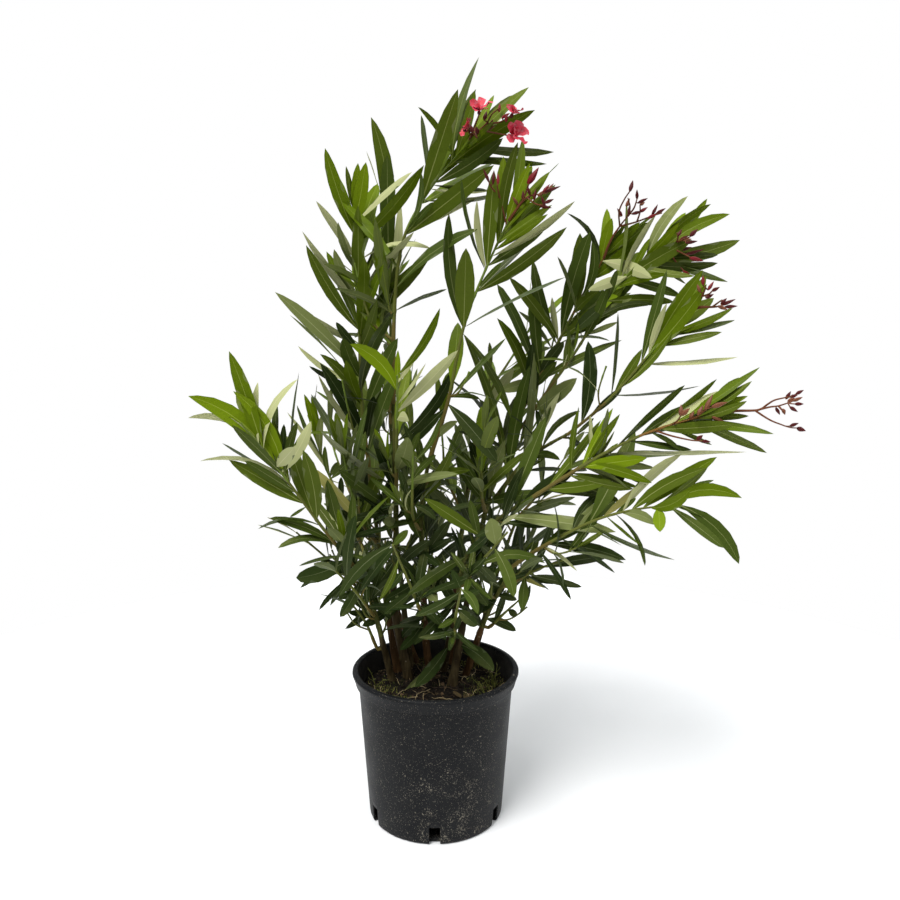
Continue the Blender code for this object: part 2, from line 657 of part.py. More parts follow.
def grow_masses(limbs, cane_meshes, material):
    """Every mass of foliage. A leaf that would touch a limb or another mass is skipped."""
    stems = {mass.name: twigs_of(mass, limbs) for mass in MASSES}
    tubes = {
        name: [tube_mesh(twig.line, taper(twig.line, twig.foot_radius, TWIG_TIP), TWIG_SIDES,
                         twig.foot_way) for twig in twigs]
        for name, twigs in stems.items()
    }
    grown = []
    for mass in MASSES:
        others = [tube for name, group in tubes.items() if name != mass.name for tube in group]
        taken = solid_tree([*cane_meshes, *others, *grown])
        pieces = list(tubes[mass.name])
        for twig in stems[mass.name]:
            for leaf in leaves_on(twig, mass.droop):
                if not touches(leaf_mesh(leaf, LEAF_MARGIN), taken):
                    pieces.append(leaf_mesh(leaf))
        tip, along = place_on(stems[mass.name][0].line, 1)
        if mass.blossom == "flowers":
            pieces += flower_meshes(mass.name, tip, along)
        elif mass.blossom:
            pieces += bud_meshes(mass.name, tip, along, mass.blossom)
        joined(mass.name, pieces, material)
        grown += pieces


def clear_scene():
    """Removes every object that the scene starts with."""
    for item in list(bpy.data.objects):
        bpy.data.objects.remove(item)


def main():
    """Builds the potted oleander."""
    clear_scene()
    make_pot(finish("pot_plastic", (0.028, 0.030, 0.034), 0.5))
    make_compost(finish("compost_brown", (0.040, 0.026, 0.016), 0.95))
    bark = finish("cane_bark", (0.150, 0.085, 0.045), 0.8)
    limbs = {}
    canes = [make_cane(cane, limbs, bark) for cane in CANES]
    cane_meshes = [
        ([vertex.co.copy() for vertex in cane.data.vertices],
         [tuple(face.vertices) for face in cane.data.polygons])
        for cane in canes
    ]
    grow_masses(limbs, cane_meshes, finish("foliage_green", (0.060, 0.130, 0.030), 0.5))


main()
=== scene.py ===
"""The looks of the potted oleander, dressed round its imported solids.

Metres, +Z up. The pot's foot stands on the origin and the shrub's front faces -Y.
Canes, stems and leaves grow by the seeded rule that the solids were grown by.
"""

import json
import logging
import math
import random
from dataclasses import dataclass, field
from enum import Enum
from typing import Iterator, NamedTuple, Sequence

import bpy
import numpy as np
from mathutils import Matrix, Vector

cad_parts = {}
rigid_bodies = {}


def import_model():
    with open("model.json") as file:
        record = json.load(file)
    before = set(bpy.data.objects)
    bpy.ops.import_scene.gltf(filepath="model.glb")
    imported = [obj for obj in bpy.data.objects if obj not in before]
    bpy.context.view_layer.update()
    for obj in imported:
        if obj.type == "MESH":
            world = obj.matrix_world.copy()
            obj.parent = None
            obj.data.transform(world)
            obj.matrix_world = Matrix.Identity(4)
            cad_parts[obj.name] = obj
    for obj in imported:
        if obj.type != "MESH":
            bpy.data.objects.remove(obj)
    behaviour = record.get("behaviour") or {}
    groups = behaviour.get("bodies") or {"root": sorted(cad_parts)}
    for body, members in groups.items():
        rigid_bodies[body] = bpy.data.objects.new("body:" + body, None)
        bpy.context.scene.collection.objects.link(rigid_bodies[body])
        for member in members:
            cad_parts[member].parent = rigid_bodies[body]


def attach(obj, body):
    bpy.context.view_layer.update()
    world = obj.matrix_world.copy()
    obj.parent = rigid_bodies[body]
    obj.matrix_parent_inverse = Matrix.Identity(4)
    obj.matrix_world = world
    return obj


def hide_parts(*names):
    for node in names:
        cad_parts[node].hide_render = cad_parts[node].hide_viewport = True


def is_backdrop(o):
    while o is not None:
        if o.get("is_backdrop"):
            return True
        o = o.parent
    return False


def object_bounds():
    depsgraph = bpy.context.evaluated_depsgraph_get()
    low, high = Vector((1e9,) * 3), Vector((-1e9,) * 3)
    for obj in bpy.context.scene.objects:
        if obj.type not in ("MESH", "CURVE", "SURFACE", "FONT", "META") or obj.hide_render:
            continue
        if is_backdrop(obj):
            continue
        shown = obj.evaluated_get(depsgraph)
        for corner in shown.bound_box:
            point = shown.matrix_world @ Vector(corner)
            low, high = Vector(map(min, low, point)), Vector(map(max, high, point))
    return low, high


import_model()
CAD_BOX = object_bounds()

LOG = logging.getLogger("oleander")
Array = np.ndarray
Colour = tuple[float, float, float]
Place = tuple[float, float, float]
Socket = bpy.types.NodeSocket

UP = np.array((0.0, 0.0, 1.0))
SOIL_LEVEL = 0.183  # top of the compost
CLEAR = 0.0003  # gap that the solids keep between a stem's foot and its limb
LEAF_LIMIT = 190_000  # triangles in one joined piece, at most
TINY = 1e-12  # keeps a division clear of zero
CURVE_STEPS = 12  # fine steps between two points that a smooth line runs through


# ---------------------------------------------------------------- shapes from arrays


@dataclass
class Shape:
    """Points with the quads and triangles between them, and each face's finish number."""

    points: Array
    quads: Array
    triangles: Array
    quad_slots: Array
    triangle_slots: Array

    @property
    def weight(self) -> int:
        """How many triangles the shape makes."""
        return 2 * len(self.quads) + len(self.triangles)

    def raise_slots(self, slots: Array) -> None:
        """Raises the finish numbers of each of the shape's equal parts by its own number."""
        self.quad_slots = self.quad_slots + np.repeat(slots, len(self.quads) // len(slots))
        self.triangle_slots = self.triangle_slots + np.repeat(slots, len(self.triangles) // len(slots))


def join_shapes(shapes: Sequence[Shape]) -> Shape:
    """One shape that holds all of these.

    Args:
        shapes: Shapes with their own point numbers.

    Returns:
        The joined shape, each part's point numbers raised by the points before it.
    """
    starts = np.cumsum([0] + [len(shape.points) for shape in shapes[:-1]])
    return Shape(
        np.concatenate([shape.points for shape in shapes]),
        np.concatenate([shape.quads + start for shape, start in zip(shapes, starts)]),
        np.concatenate([shape.triangles + start for shape, start in zip(shapes, starts)]),
        np.concatenate([shape.quad_slots for shape in shapes]),
        np.concatenate([shape.triangle_slots for shape in shapes]),
    )


def unit(vectors: Array) -> Array:
    """The same directions at length 1."""
    return vectors / np.maximum(np.linalg.norm(vectors, axis=-1, keepdims=True), TINY)


def circle(sides: int) -> Array:
    """The points (cos a, sin a) at equal angles a round a circle of radius 1."""
    turn = math.tau * np.arange(sides) / sides
    return np.stack([np.cos(turn), np.sin(turn)], 1)


def ripples(points: Array, size: float, count: int, seed: int) -> Array:
    """Uneven relief, mostly between -1 and 1, from plane sine waves.

    relief(p) = sum of sin(k . p + phase) over the waves, divided by the root of their number,
    where k has a random direction and a wavelength near size.

    Args:
        points: Places, as rows.
        size: Typical wavelength.
        count: Number of waves.
        seed: Seed of the waves.

    Returns:
        One height for each place.
    """
    rule = np.random.default_rng(seed)
    ways = unit(rule.normal(size=(count, points.shape[-1])))
    lengths = size * rule.uniform(0.55, 1.7, count)
    phases = rule.uniform(0, math.tau, count)
    waves = np.sin(points @ (math.tau * ways / lengths[:, None]).T + phases)
    return waves.sum(-1) / math.sqrt(count)


def skin(rings: Array, foot: Array, tip: Array, ring_slots: Array | None = None) -> Shape:
    """Closes stacks of rings into skins with a pole at each end.

    Quad (i, j) joins points j and j + 1 of ring i to those of ring i + 1.

    Args:
        rings: Points as (shapes, rings, sides, 3), each ring running round its path's left.
        foot: The first pole of each shape, as (shapes, 3).
        tip: The last pole of each shape.
        ring_slots: Finish number of each strip round the ring, or none for 0.

    Returns:
        All the skins as one shape.
    """
    count, stack, sides, _ = rings.shape
    slots = np.zeros(sides, int) if ring_slots is None else np.asarray(ring_slots)
    each = stack * sides + 2
    here, following = np.arange(sides), (np.arange(sides) + 1) % sides
    level = np.arange(stack - 1)[:, None] * sides
    quads = np.stack([level + here, level + following, level + sides + following, level + sides + here], -1)
    last = (stack - 1) * sides
    foot_fan = np.stack([np.full(sides, each - 2), following, here], -1)
    tip_fan = np.stack([last + here, last + following, np.full(sides, each - 1)], -1)
    fans = np.concatenate([foot_fan, tip_fan])
    starts = (np.arange(count) * each)[:, None, None]
    points = np.concatenate([rings.reshape(count, -1, 3), foot[:, None], tip[:, None]], 1)
    return Shape(
        points.reshape(-1, 3),
        (quads.reshape(1, -1, 4) + starts).reshape(-1, 4),
        (fans[None] + starts).reshape(-1, 3),
        np.tile(np.tile(slots, stack - 1), count),
        np.tile(np.tile(slots, 2), count),
    )


def across(way: Array) -> tuple[Array, Array]:
    """Two directions at right angles to this one and to each other.

    Args:
        way: A direction.

    Returns:
        The two directions, by the same choice as the solids' rule.
    """
    other = np.array((1.0, 0, 0)) if abs(way[0]) < 0.7 else np.array((0, 1.0, 0))
    first = unit(np.cross(way, other))
    return first, unit(np.cross(way, first))


def tangents(line: Array) -> Array:
    """The direction of a line at each of its points, between its neighbours."""
    padded = np.concatenate([line[:1], line, line[-1:]])
    return unit(padded[2:] - padded[:-2])


def tube(line: Array, radii: Array, sides: int, slots: Array | None = None, slot: int = 0) -> Shape:
    """A profile of circles carried along a path.

    Point (i, a) = line_i + radius_(i, a) * (cos a * first_i + sin a * second_i).

    Args:
        line: The path's points.
        radii: A radius for each point, or for each point and side.
        sides: Points round a ring.
        slots: Finish number for each piece of the path, or none.
        slot: Finish number where slots is none.

    Returns:
        The closed tube.
    """
    along = tangents(line)
    first = across(unit(line[-1] - line[0]))[0]
    first = unit(first - along * (along @ first)[:, None])
    second = np.cross(along, first)
    cosine, sine = circle(sides).T[:, :, None]
    ring = cosine * first[:, None] + sine * second[:, None]
    size = radii[:, None, None] if radii.ndim == 1 else radii[:, :, None]
    rings = line[:, None] + size * ring
    foot, tip = rings[0].mean(0), rings[-1].mean(0) + along[-1] * radii[-1].mean() * 0.4
    made = skin(rings[None], foot[None], tip[None], np.full(sides, slot))
    if slots is not None:
        made.quad_slots = np.repeat(slots[: len(line) - 1], sides)
        made.triangle_slots = np.repeat([slots[0], slots[-1]], sides)
    return made


def spindles(
    roots: Array, aims: Array, lengths: Array, radii: Array, profile: Array, slots: Array, sides: int = 6
) -> Shape:
    """Many small turned shapes at once.

    Ring i stands at profile_i[0] * length along the aim, with radius profile_i[1] * radius.

    Args:
        roots: Where each starts.
        aims: The way each points.
        lengths: Their lengths.
        radii: Their radii.
        profile: (share of length, share of radius) for each ring.
        slots: Their finish numbers.
        sides: Points round a ring.

    Returns:
        All of them as one shape.
    """
    pairs = np.array([across(aim) for aim in aims])
    cosine, sine = circle(sides).T[:, :, None]
    ring = cosine * pairs[:, None, 0] + sine * pairs[:, None, 1]
    heights = (lengths[:, None] * profile[:, 0])[..., None, None] * aims[:, None, None]
    breadths = (radii[:, None] * profile[:, 1])[..., None, None] * ring[:, None]
    made = skin(roots[:, None, None] + heights + breadths, roots, roots + aims * lengths[:, None])
    made.raise_slots(slots)
    return made


def add_piece(
    name: str, shape: Shape, materials: Sequence[bpy.types.Material], smooth: float = 40.0
) -> bpy.types.Object:
    """Puts a shape into the scene as an object that stands on the origin.

    Args:
        name: The piece's name.
        shape: Its points and faces.
        materials: Its finishes, in the order of the shape's finish numbers.
        smooth: Edges that bend by more degrees than this stay sharp.

    Returns:
        The new object.
    """
    mesh = bpy.data.meshes.new(name)
    mesh.vertices.add(len(shape.points))
    mesh.vertices.foreach_set("co", shape.points.astype(np.float32).ravel())
    corners = np.concatenate([shape.quads.ravel(), shape.triangles.ravel()]).astype(np.int32)
    quads, triangles = len(shape.quads), len(shape.triangles)
    mesh.loops.add(len(corners))
    mesh.loops.foreach_set("vertex_index", corners)
    mesh.polygons.add(quads + triangles)
    starts = np.concatenate([4 * np.arange(quads), 4 * quads + 3 * np.arange(triangles)])
    mesh.polygons.foreach_set("loop_start", starts.astype(np.int32))
    slots = np.concatenate([shape.quad_slots, shape.triangle_slots]).astype(np.int32)
    mesh.polygons.foreach_set("material_index", slots)
    for material in materials:
        mesh.materials.append(material)
    mesh.update(calc_edges=True)
    mesh.validate()
    mesh.shade_smooth()
    mesh.set_sharp_from_angle(angle=math.radians(smooth))
    made = bpy.data.objects.new(name, mesh)
    bpy.context.scene.collection.objects.link(made)
    return made


def report(piece: bpy.types.Object, nodes: Sequence[str] = ()) -> None:
    """Hangs a piece on the plant's one body, hides the solids that it stands for, and logs it.

    Args:
        piece: The finished piece.
        nodes: The solids that the piece stands for.
    """
    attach(piece, "root")
    if nodes:
        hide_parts(*nodes)
    corners = len(piece.data.loops)
    LOG.info("%s: %d triangles", piece.name, corners - 2 * len(piece.data.polygons))


# ---------------------------------------------------------------- lines and growth rule


def place_on(line: Array, share: float) -> tuple[Array, Array]:
    """The point at a share of the line's length, and the way the line runs there.

    Args:
        line: Points joined by straight pieces.
        share: Share of the length, from 0 to 1.

    Returns:
        The point and the unit direction of its piece.
    """
    steps = np.diff(line, axis=0)
    ends = np.cumsum(np.linalg.norm(steps, axis=1))
    left = min(max(share, 0.0), 1.0) * ends[-1]
    piece = min(int(np.searchsorted(ends, left)), len(steps) - 1)
    length = np.linalg.norm(steps[piece])
    done = (left - (ends[piece] - length)) / length
    return line[piece] + done * steps[piece], steps[piece] / length


def resampled(line: Array, step: float) -> Array:
    """The line in equal pieces of about this length, two at least.

    Args:
        line: The line's points.
        step: Length of one piece.

    Returns:
        The points between the new pieces.
    """
    ends = np.concatenate([[0], np.cumsum(np.linalg.norm(np.diff(line, axis=0), axis=1))])
    pieces = max(2, round(ends[-1] / step))
    places = np.linspace(0, ends[-1], pieces + 1)
    return np.stack([np.interp(places, ends, line[:, axis]) for axis in range(3)], 1)


def shares_of(line: Array) -> tuple[Array, Array]:
    """For an evenly spaced line's points, their shares of its length and their distances along it."""
    share = np.linspace(0, 1, len(line))
    return share, share * np.linalg.norm(np.diff(line, axis=0), axis=1).sum()


def smooth_line(points: Sequence, step: float) -> Array:
    """A smooth line through the points, in straight pieces of about this length.

    Between two points it is the cubic whose slope at each is half the way between that
    point's neighbours; the first and last points are mirrored to give the ends a neighbour.

    Args:
        points: The points that it runs through.
        step: Length of one piece.

    Returns:
        The line's points.
    """
    known = np.array(points, float)
    ends = np.concatenate([[2 * known[0] - known[1]], known, [2 * known[-1] - known[-2]]])
    t = (np.arange(CURVE_STEPS) / CURVE_STEPS)[None, :, None]
    before, start, stop, after = (ends[i : len(ends) - 3 + i, None] for i in range(4))
    fine = 0.5 * (
        2 * start
        + (stop - before) * t
        + (2 * before - 5 * start + 4 * stop - after) * t**2
        + (3 * start - before - 3 * stop + after) * t**3
    )
    return resampled(np.concatenate([fine.reshape(-1, 3), known[-1:]]), step)


class Blossom(Enum):
    """What stands at a shoot's tip."""

    NONE = "none"
    FLOWERS = "flowers"
    BUDS = "buds"
    LONG_BUDS = "long buds"


@dataclass(frozen=True)
class Cane:
    """A limb that stands on the compost, or on another cane at a share of its length."""

    name: str
    parent: str
    at: float
    way: tuple[Place, ...]
    foot_radius: float
    tip_radius: float


@dataclass(frozen=True)
class Mass:
    """A shoot with its leaves: one stem that starts at its cane's tip (at 1) or side."""

    name: str
    parent: str
    at: float
    way: tuple[Place, ...]
    leaf: float
    whorls: int
    bare: float = 0.05
    droop: float = 0.0
    side_twigs: int = 0
    blossom: Blossom = Blossom.NONE
    seed: int = 0


CANES = (
    Cane("cane_tall", "", 0, ((-0.040, 0.025, 0), (-0.060, 0.016, 0.300),
         (-0.056, 0.006, 0.450), (-0.058, 0.000, 0.600)), 0.0072, 0.0042),
    Cane("cane_left", "", 0, ((-0.058, 0.048, 0), (-0.074, 0.048, 0.290),
         (-0.092, 0.052, 0.440)), 0.0062, 0.0042),
    Cane("cane_back_left", "", 0, ((-0.040, 0.068, 0), (-0.058, 0.094, 0.350),
         (-0.072, 0.122, 0.560)), 0.0055, 0.0034),
    Cane("cane_middle", "", 0, ((-0.008, 0.030, 0), (-0.016, 0.016, 0.270),
         (-0.020, -0.004, 0.440), (-0.008, -0.020, 0.520)), 0.0060, 0.0038),
    Cane("cane_right", "", 0, ((0.024, 0.003, 0), (0.045, 0.022, 0.300),
         (0.080, 0.036, 0.465), (0.126, 0.030, 0.590)), 0.0066, 0.0038),
    Cane("bough_right", "cane_right", 0.66, ((0.130, 0.000, 0.520),
         (0.180, -0.044, 0.560)), 0.0036, 0.0028),
    Cane("cane_far_right", "", 0, ((0.010, 0.052, 0), (0.031, 0.000, 0.310),
         (0.044, -0.042, 0.392), (0.088, -0.064, 0.449), (0.130, -0.078, 0.480)), 0.0056, 0.0034),
    Cane("cane_low_right", "", 0, ((0.044, 0.036, 0), (0.072, 0.006, 0.285),
         (0.108, -0.052, 0.380)), 0.0054, 0.0034),
    Cane("cane_low_left", "", 0, ((-0.064, 0.016, 0), (-0.088, -0.020, 0.310),
         (-0.110, -0.046, 0.376)), 0.0052, 0.0034),
    Cane("cane_back_right", "", 0, ((0.024, 0.074, 0), (0.034, 0.094, 0.350),
         (0.056, 0.116, 0.510)), 0.0054, 0.0034),
    Cane("cane_back", "", 0, ((-0.014, 0.082, 0), (-0.024, 0.140, 0.340),
         (-0.034, 0.190, 0.430)), 0.0052, 0.0034),
    Cane("cane_back_far_left", "", 0, ((-0.031, 0.085, 0), (-0.090, 0.132, 0.330),
         (-0.130, 0.170, 0.410)), 0.0050, 0.0032),
    Cane("cane_back_far_right", "", 0, ((0.052, 0.068, 0), (0.100, 0.124, 0.330),
         (0.130, 0.160, 0.400)), 0.0050, 0.0032),
)

MASSES = (
    Mass("foliage_top", "cane_tall", 1, ((-0.055, 0.000, 0.735), (-0.040, 0.000, 0.828),
         (0.004, 0.000, 0.900), (0.046, 0.000, 0.946)), 0.158, 9, side_twigs=1, blossom=Blossom.FLOWERS, seed=102),
    Mass("foliage_left_upper", "cane_left", 1, ((-0.109, 0.056, 0.600), (-0.111, 0.060, 0.720),
         (-0.116, 0.060, 0.868)), 0.155, 11, side_twigs=1, seed=291),
    Mass("foliage_back_left_upper", "cane_back_left", 1, ((-0.072, 0.140, 0.745),
         (-0.082, 0.146, 0.915)), 0.140, 9, seed=297),
    Mass("foliage_centre", "cane_tall", 0.66, ((-0.050, -0.052, 0.560),
         (-0.046, -0.094, 0.640)), 0.115, 6, bare=0.10, seed=21),
    Mass("foliage_middle_upper", "cane_middle", 1, ((0.020, -0.040, 0.610), (0.038, -0.050, 0.700),
         (0.070, -0.052, 0.782), (0.104, -0.050, 0.852)), 0.145, 10, blossom=Blossom.BUDS, seed=197),
    Mass("foliage_right_upper", "cane_right", 1, ((0.178, 0.020, 0.692),
         (0.215, 0.020, 0.765), (0.238, 0.020, 0.805)), 0.140, 8, blossom=Blossom.LONG_BUDS, seed=196),
    Mass("foliage_right_top", "cane_right", 0.92, ((0.190, -0.022, 0.668),
         (0.252, -0.034, 0.768), (0.316, -0.030, 0.808)), 0.134, 7, bare=0.34, blossom=Blossom.BUDS, seed=120),
    Mass("foliage_right_outer", "bough_right", 1, ((0.231, -0.080, 0.613),
         (0.297, -0.100, 0.697), (0.330, -0.104, 0.728)), 0.130, 7, bare=0.22, blossom=Blossom.BUDS, seed=121),
    Mass("foliage_far_right", "cane_far_right", 1, ((0.211, -0.104, 0.538),
         (0.280, -0.118, 0.574), (0.354, -0.122, 0.594)), 0.135, 9, droop=0.03, blossom=Blossom.LONG_BUDS, seed=12),
    Mass("foliage_low_right", "cane_low_right", 1, ((0.152, -0.090, 0.422),
         (0.224, -0.130, 0.468), (0.298, -0.160, 0.486)), 0.142, 8, droop=0.14, seed=14),
    Mass("foliage_low_left", "cane_low_left", 1, ((-0.148, -0.080, 0.440),
         (-0.198, -0.105, 0.522), (-0.240, -0.120, 0.582)), 0.140, 8, seed=119),
    Mass("foliage_left", "cane_left", 0.62, ((-0.132, 0.048, 0.430),
         (-0.166, 0.070, 0.500), (-0.192, 0.080, 0.575)), 0.120, 7, bare=0.20, seed=75),
    Mass("foliage_back_right_upper", "cane_back_right", 1, ((0.087, 0.140, 0.613),
         (0.130, 0.156, 0.675), (0.162, 0.160, 0.740)), 0.125, 8, seed=116),
    Mass("foliage_back", "cane_back", 1, ((-0.044, 0.250, 0.520),
         (-0.050, 0.275, 0.590)), 0.120, 7, droop=0.05, seed=62),
    Mass("foliage_back_far_left", "cane_back_far_left", 1, ((-0.166, 0.215, 0.480),
         (-0.188, 0.240, 0.540)), 0.115, 6, droop=0.05, seed=118),
    Mass("foliage_back_far_right", "cane_back_far_right", 1, ((0.176, 0.205, 0.440),
         (0.215, 0.238, 0.485)), 0.115, 6, droop=0.05, seed=253),
    Mass("foliage_back_middle", "cane_back_right", 0.55, ((0.050, 0.170, 0.430),
         (0.068, 0.240, 0.500)), 0.115, 5, bare=0.20, droop=0.05, seed=60),
    Mass("foliage_back_low_left", "cane_back_far_left", 0.45, ((-0.120, 0.160, 0.320),
         (-0.150, 0.215, 0.350)), 0.100, 4, bare=0.20, droop=0.10, seed=263),
    Mass("foliage_back_low_right", "cane_back_far_right", 0.45, ((0.115, 0.150, 0.315),
         (0.150, 0.200, 0.345)), 0.100, 4, bare=0.20, droop=0.10, seed=279),
    Mass("foliage_back_low", "cane_back", 0.45, ((-0.010, 0.180, 0.330),
         (0.000, 0.245, 0.370)), 0.100, 4, bare=0.20, droop=0.10, seed=164),
    Mass("foliage_front_left", "cane_low_left", 0.60, ((-0.104, -0.100, 0.360),
         (-0.128, -0.165, 0.415)), 0.095, 5, bare=0.20, droop=0.10, seed=181),
    Mass("foliage_front", "cane_middle", 0.30, ((-0.030, -0.090, 0.360),
         (-0.048, -0.175, 0.440)), 0.100, 6, bare=0.26, droop=0.10, seed=194),
    Mass("foliage_front_middle", "cane_right", 0.24, ((0.028, -0.080, 0.310),
         (0.034, -0.190, 0.390)), 0.095, 6, bare=0.30, droop=0.12, seed=277),
    Mass("foliage_front_right", "cane_far_right", 0.50, ((0.060, -0.110, 0.400),
         (0.088, -0.195, 0.460)), 0.100, 6, bare=0.26, droop=0.10, seed=6),
    Mass("foliage_low_left_side", "cane_low_left", 0.30, ((-0.100, -0.010, 0.285),
         (-0.128, -0.016, 0.325)), 0.060, 4, bare=0.25, droop=0.15, seed=180),
    Mass("foliage_left_side", "cane_left", 0.42, ((-0.120, 0.030, 0.335),
         (-0.156, 0.030, 0.374)), 0.070, 4, bare=0.25, droop=0.12, seed=243),
    Mass("foliage_left_outer", "cane_low_left", 0.80, ((-0.150, -0.044, 0.390),
         (-0.188, -0.050, 0.426)), 0.085, 4, bare=0.20, droop=0.10, seed=121),
    Mass("foliage_right_side", "cane_low_right", 0.80, ((0.134, -0.040, 0.368),
         (0.180, -0.048, 0.388)), 0.095, 5, bare=0.18, droop=0.12, seed=16),
    Mass("foliage_low_right_side", "cane_low_right", 0.42, ((0.094, 0.000, 0.290),
         (0.120, -0.010, 0.318)), 0.070, 4, bare=0.20, droop=0.15, seed=137),
    Mass("foliage_middle_right", "cane_right", 0.62, ((0.064, -0.024, 0.485),
         (0.066, -0.060, 0.565)), 0.110, 6, bare=0.16, seed=17),
    Mass("foliage_middle_left", "cane_middle", 0.70, ((-0.030, -0.040, 0.440),
         (-0.028, -0.070, 0.540)), 0.105, 6, bare=0.18, seed=281),
    Mass("foliage_middle_back", "cane_back_right", 0.75, ((0.016, 0.110, 0.470),
         (0.006, 0.090, 0.580)), 0.120, 6, bare=0.14, seed=146),
    Mass("foliage_right_inner", "cane_right", 0.80, ((0.120, 0.070, 0.520),
         (0.160, 0.096, 0.575)), 0.105, 5, bare=0.16, seed=5),
    Mass("foliage_left_inner", "cane_left", 0.80, ((-0.110, 0.000, 0.440),
         (-0.125, -0.030, 0.530)), 0.115, 6, bare=0.14, seed=79),
)


@dataclass(frozen=True)
class Limb:
    """A cane as grown: its line, and its radius at each end, leaving out the flare."""

    line: Array
    foot_radius: float
    tip_radius: float

    def radius_at(self, share: Array | float) -> Array | float:
        """The radius at a share of the length."""
        return self.foot_radius + (self.tip_radius - self.foot_radius) * share


@dataclass(frozen=True)
class Twig:
    """A leafy stem, with what its leaves are grown from."""

    name: str
    line: Array
    foot_radius: float
    leaf: float
    whorls: int
    bare: float
    blossom: Blossom
    droop: float
    joint: Array  # the point inside its limb that the visible stem starts from
    youth: float = 1.0  # 1 where its tip leaves are young and bright, 0 where all are old and dark; set by the tip's height, so the dark leaves of low shoots also paint the shade deep in the shrub


@dataclass(frozen=True)
class Sight:
    """The camera's place, and where the spots of its square picture lie."""

    place: Place = (0.0209, -1.10, 0.673)
    drop: float = math.radians(7.28)  # how far below the level it looks
    focal: float = 789.0  # in picture units
    middle: float = 450.0  # of the picture, across and down, in the same units
    search: float = 0.002  # how far apart the points of a line stand that a spot is set against

    def seen(self, points: Array) -> Array:
        """Where points show in the picture.

        Args:
            points: Places, as rows.

        Returns:
            Their spots, as (across, down).
        """
        off = np.asarray(points) - self.place
        ahead = off[..., 1] * math.cos(self.drop) - off[..., 2] * math.sin(self.drop)
        above = off[..., 1] * math.sin(self.drop) + off[..., 2] * math.cos(self.drop)
        return self.middle + self.focal * np.stack([off[..., 0] / ahead, -above / ahead], -1)

    def spot(self, across: float, down: float, depth: float) -> Array:
        """The point at y = depth that shows at a spot of the picture.

        Args:
            across: The spot, from the left.
            down: The spot, from the top.
            depth: The point's y.

        Returns:
            The point.
        """
        aside, above = (across - self.middle) / self.focal, (self.middle - down) / self.focal
        ray = np.array((aside, math.cos(self.drop) + above * math.sin(self.drop),
                        above * math.cos(self.drop) - math.sin(self.drop)))
        return np.array(self.place) + ray * (depth - self.place[1]) / ray[1]

    def nearest(self, line: Array, across: float, down: float) -> Array:
        """The point of a line that shows nearest to a spot of the picture."""
        return self.closest(resampled(line, self.search), (across, down))

    def closest(self, points: Array, spot: Sequence[float]) -> Array:
        """The point that shows nearest to a spot of the picture."""
        return points[np.linalg.norm(self.seen(points) - np.array(spot), axis=-1).argmin()]


SIGHT = Sight()


class SeenLeaf(NamedTuple):
    """A leaf in full view, placed one by one; its root moves to the nearest point of its stem."""

    root_across: float  # where its root shows in the camera's picture
    root_down: float
    tip_across: float
    tip_down: float
    breadth: float  # in the picture
    bow: float  # how far its middle bows to the left of the way it points, in the picture
    nearer: float  # how much nearer to the camera its tip stands, in millimetres
    age: int  # number of its finish


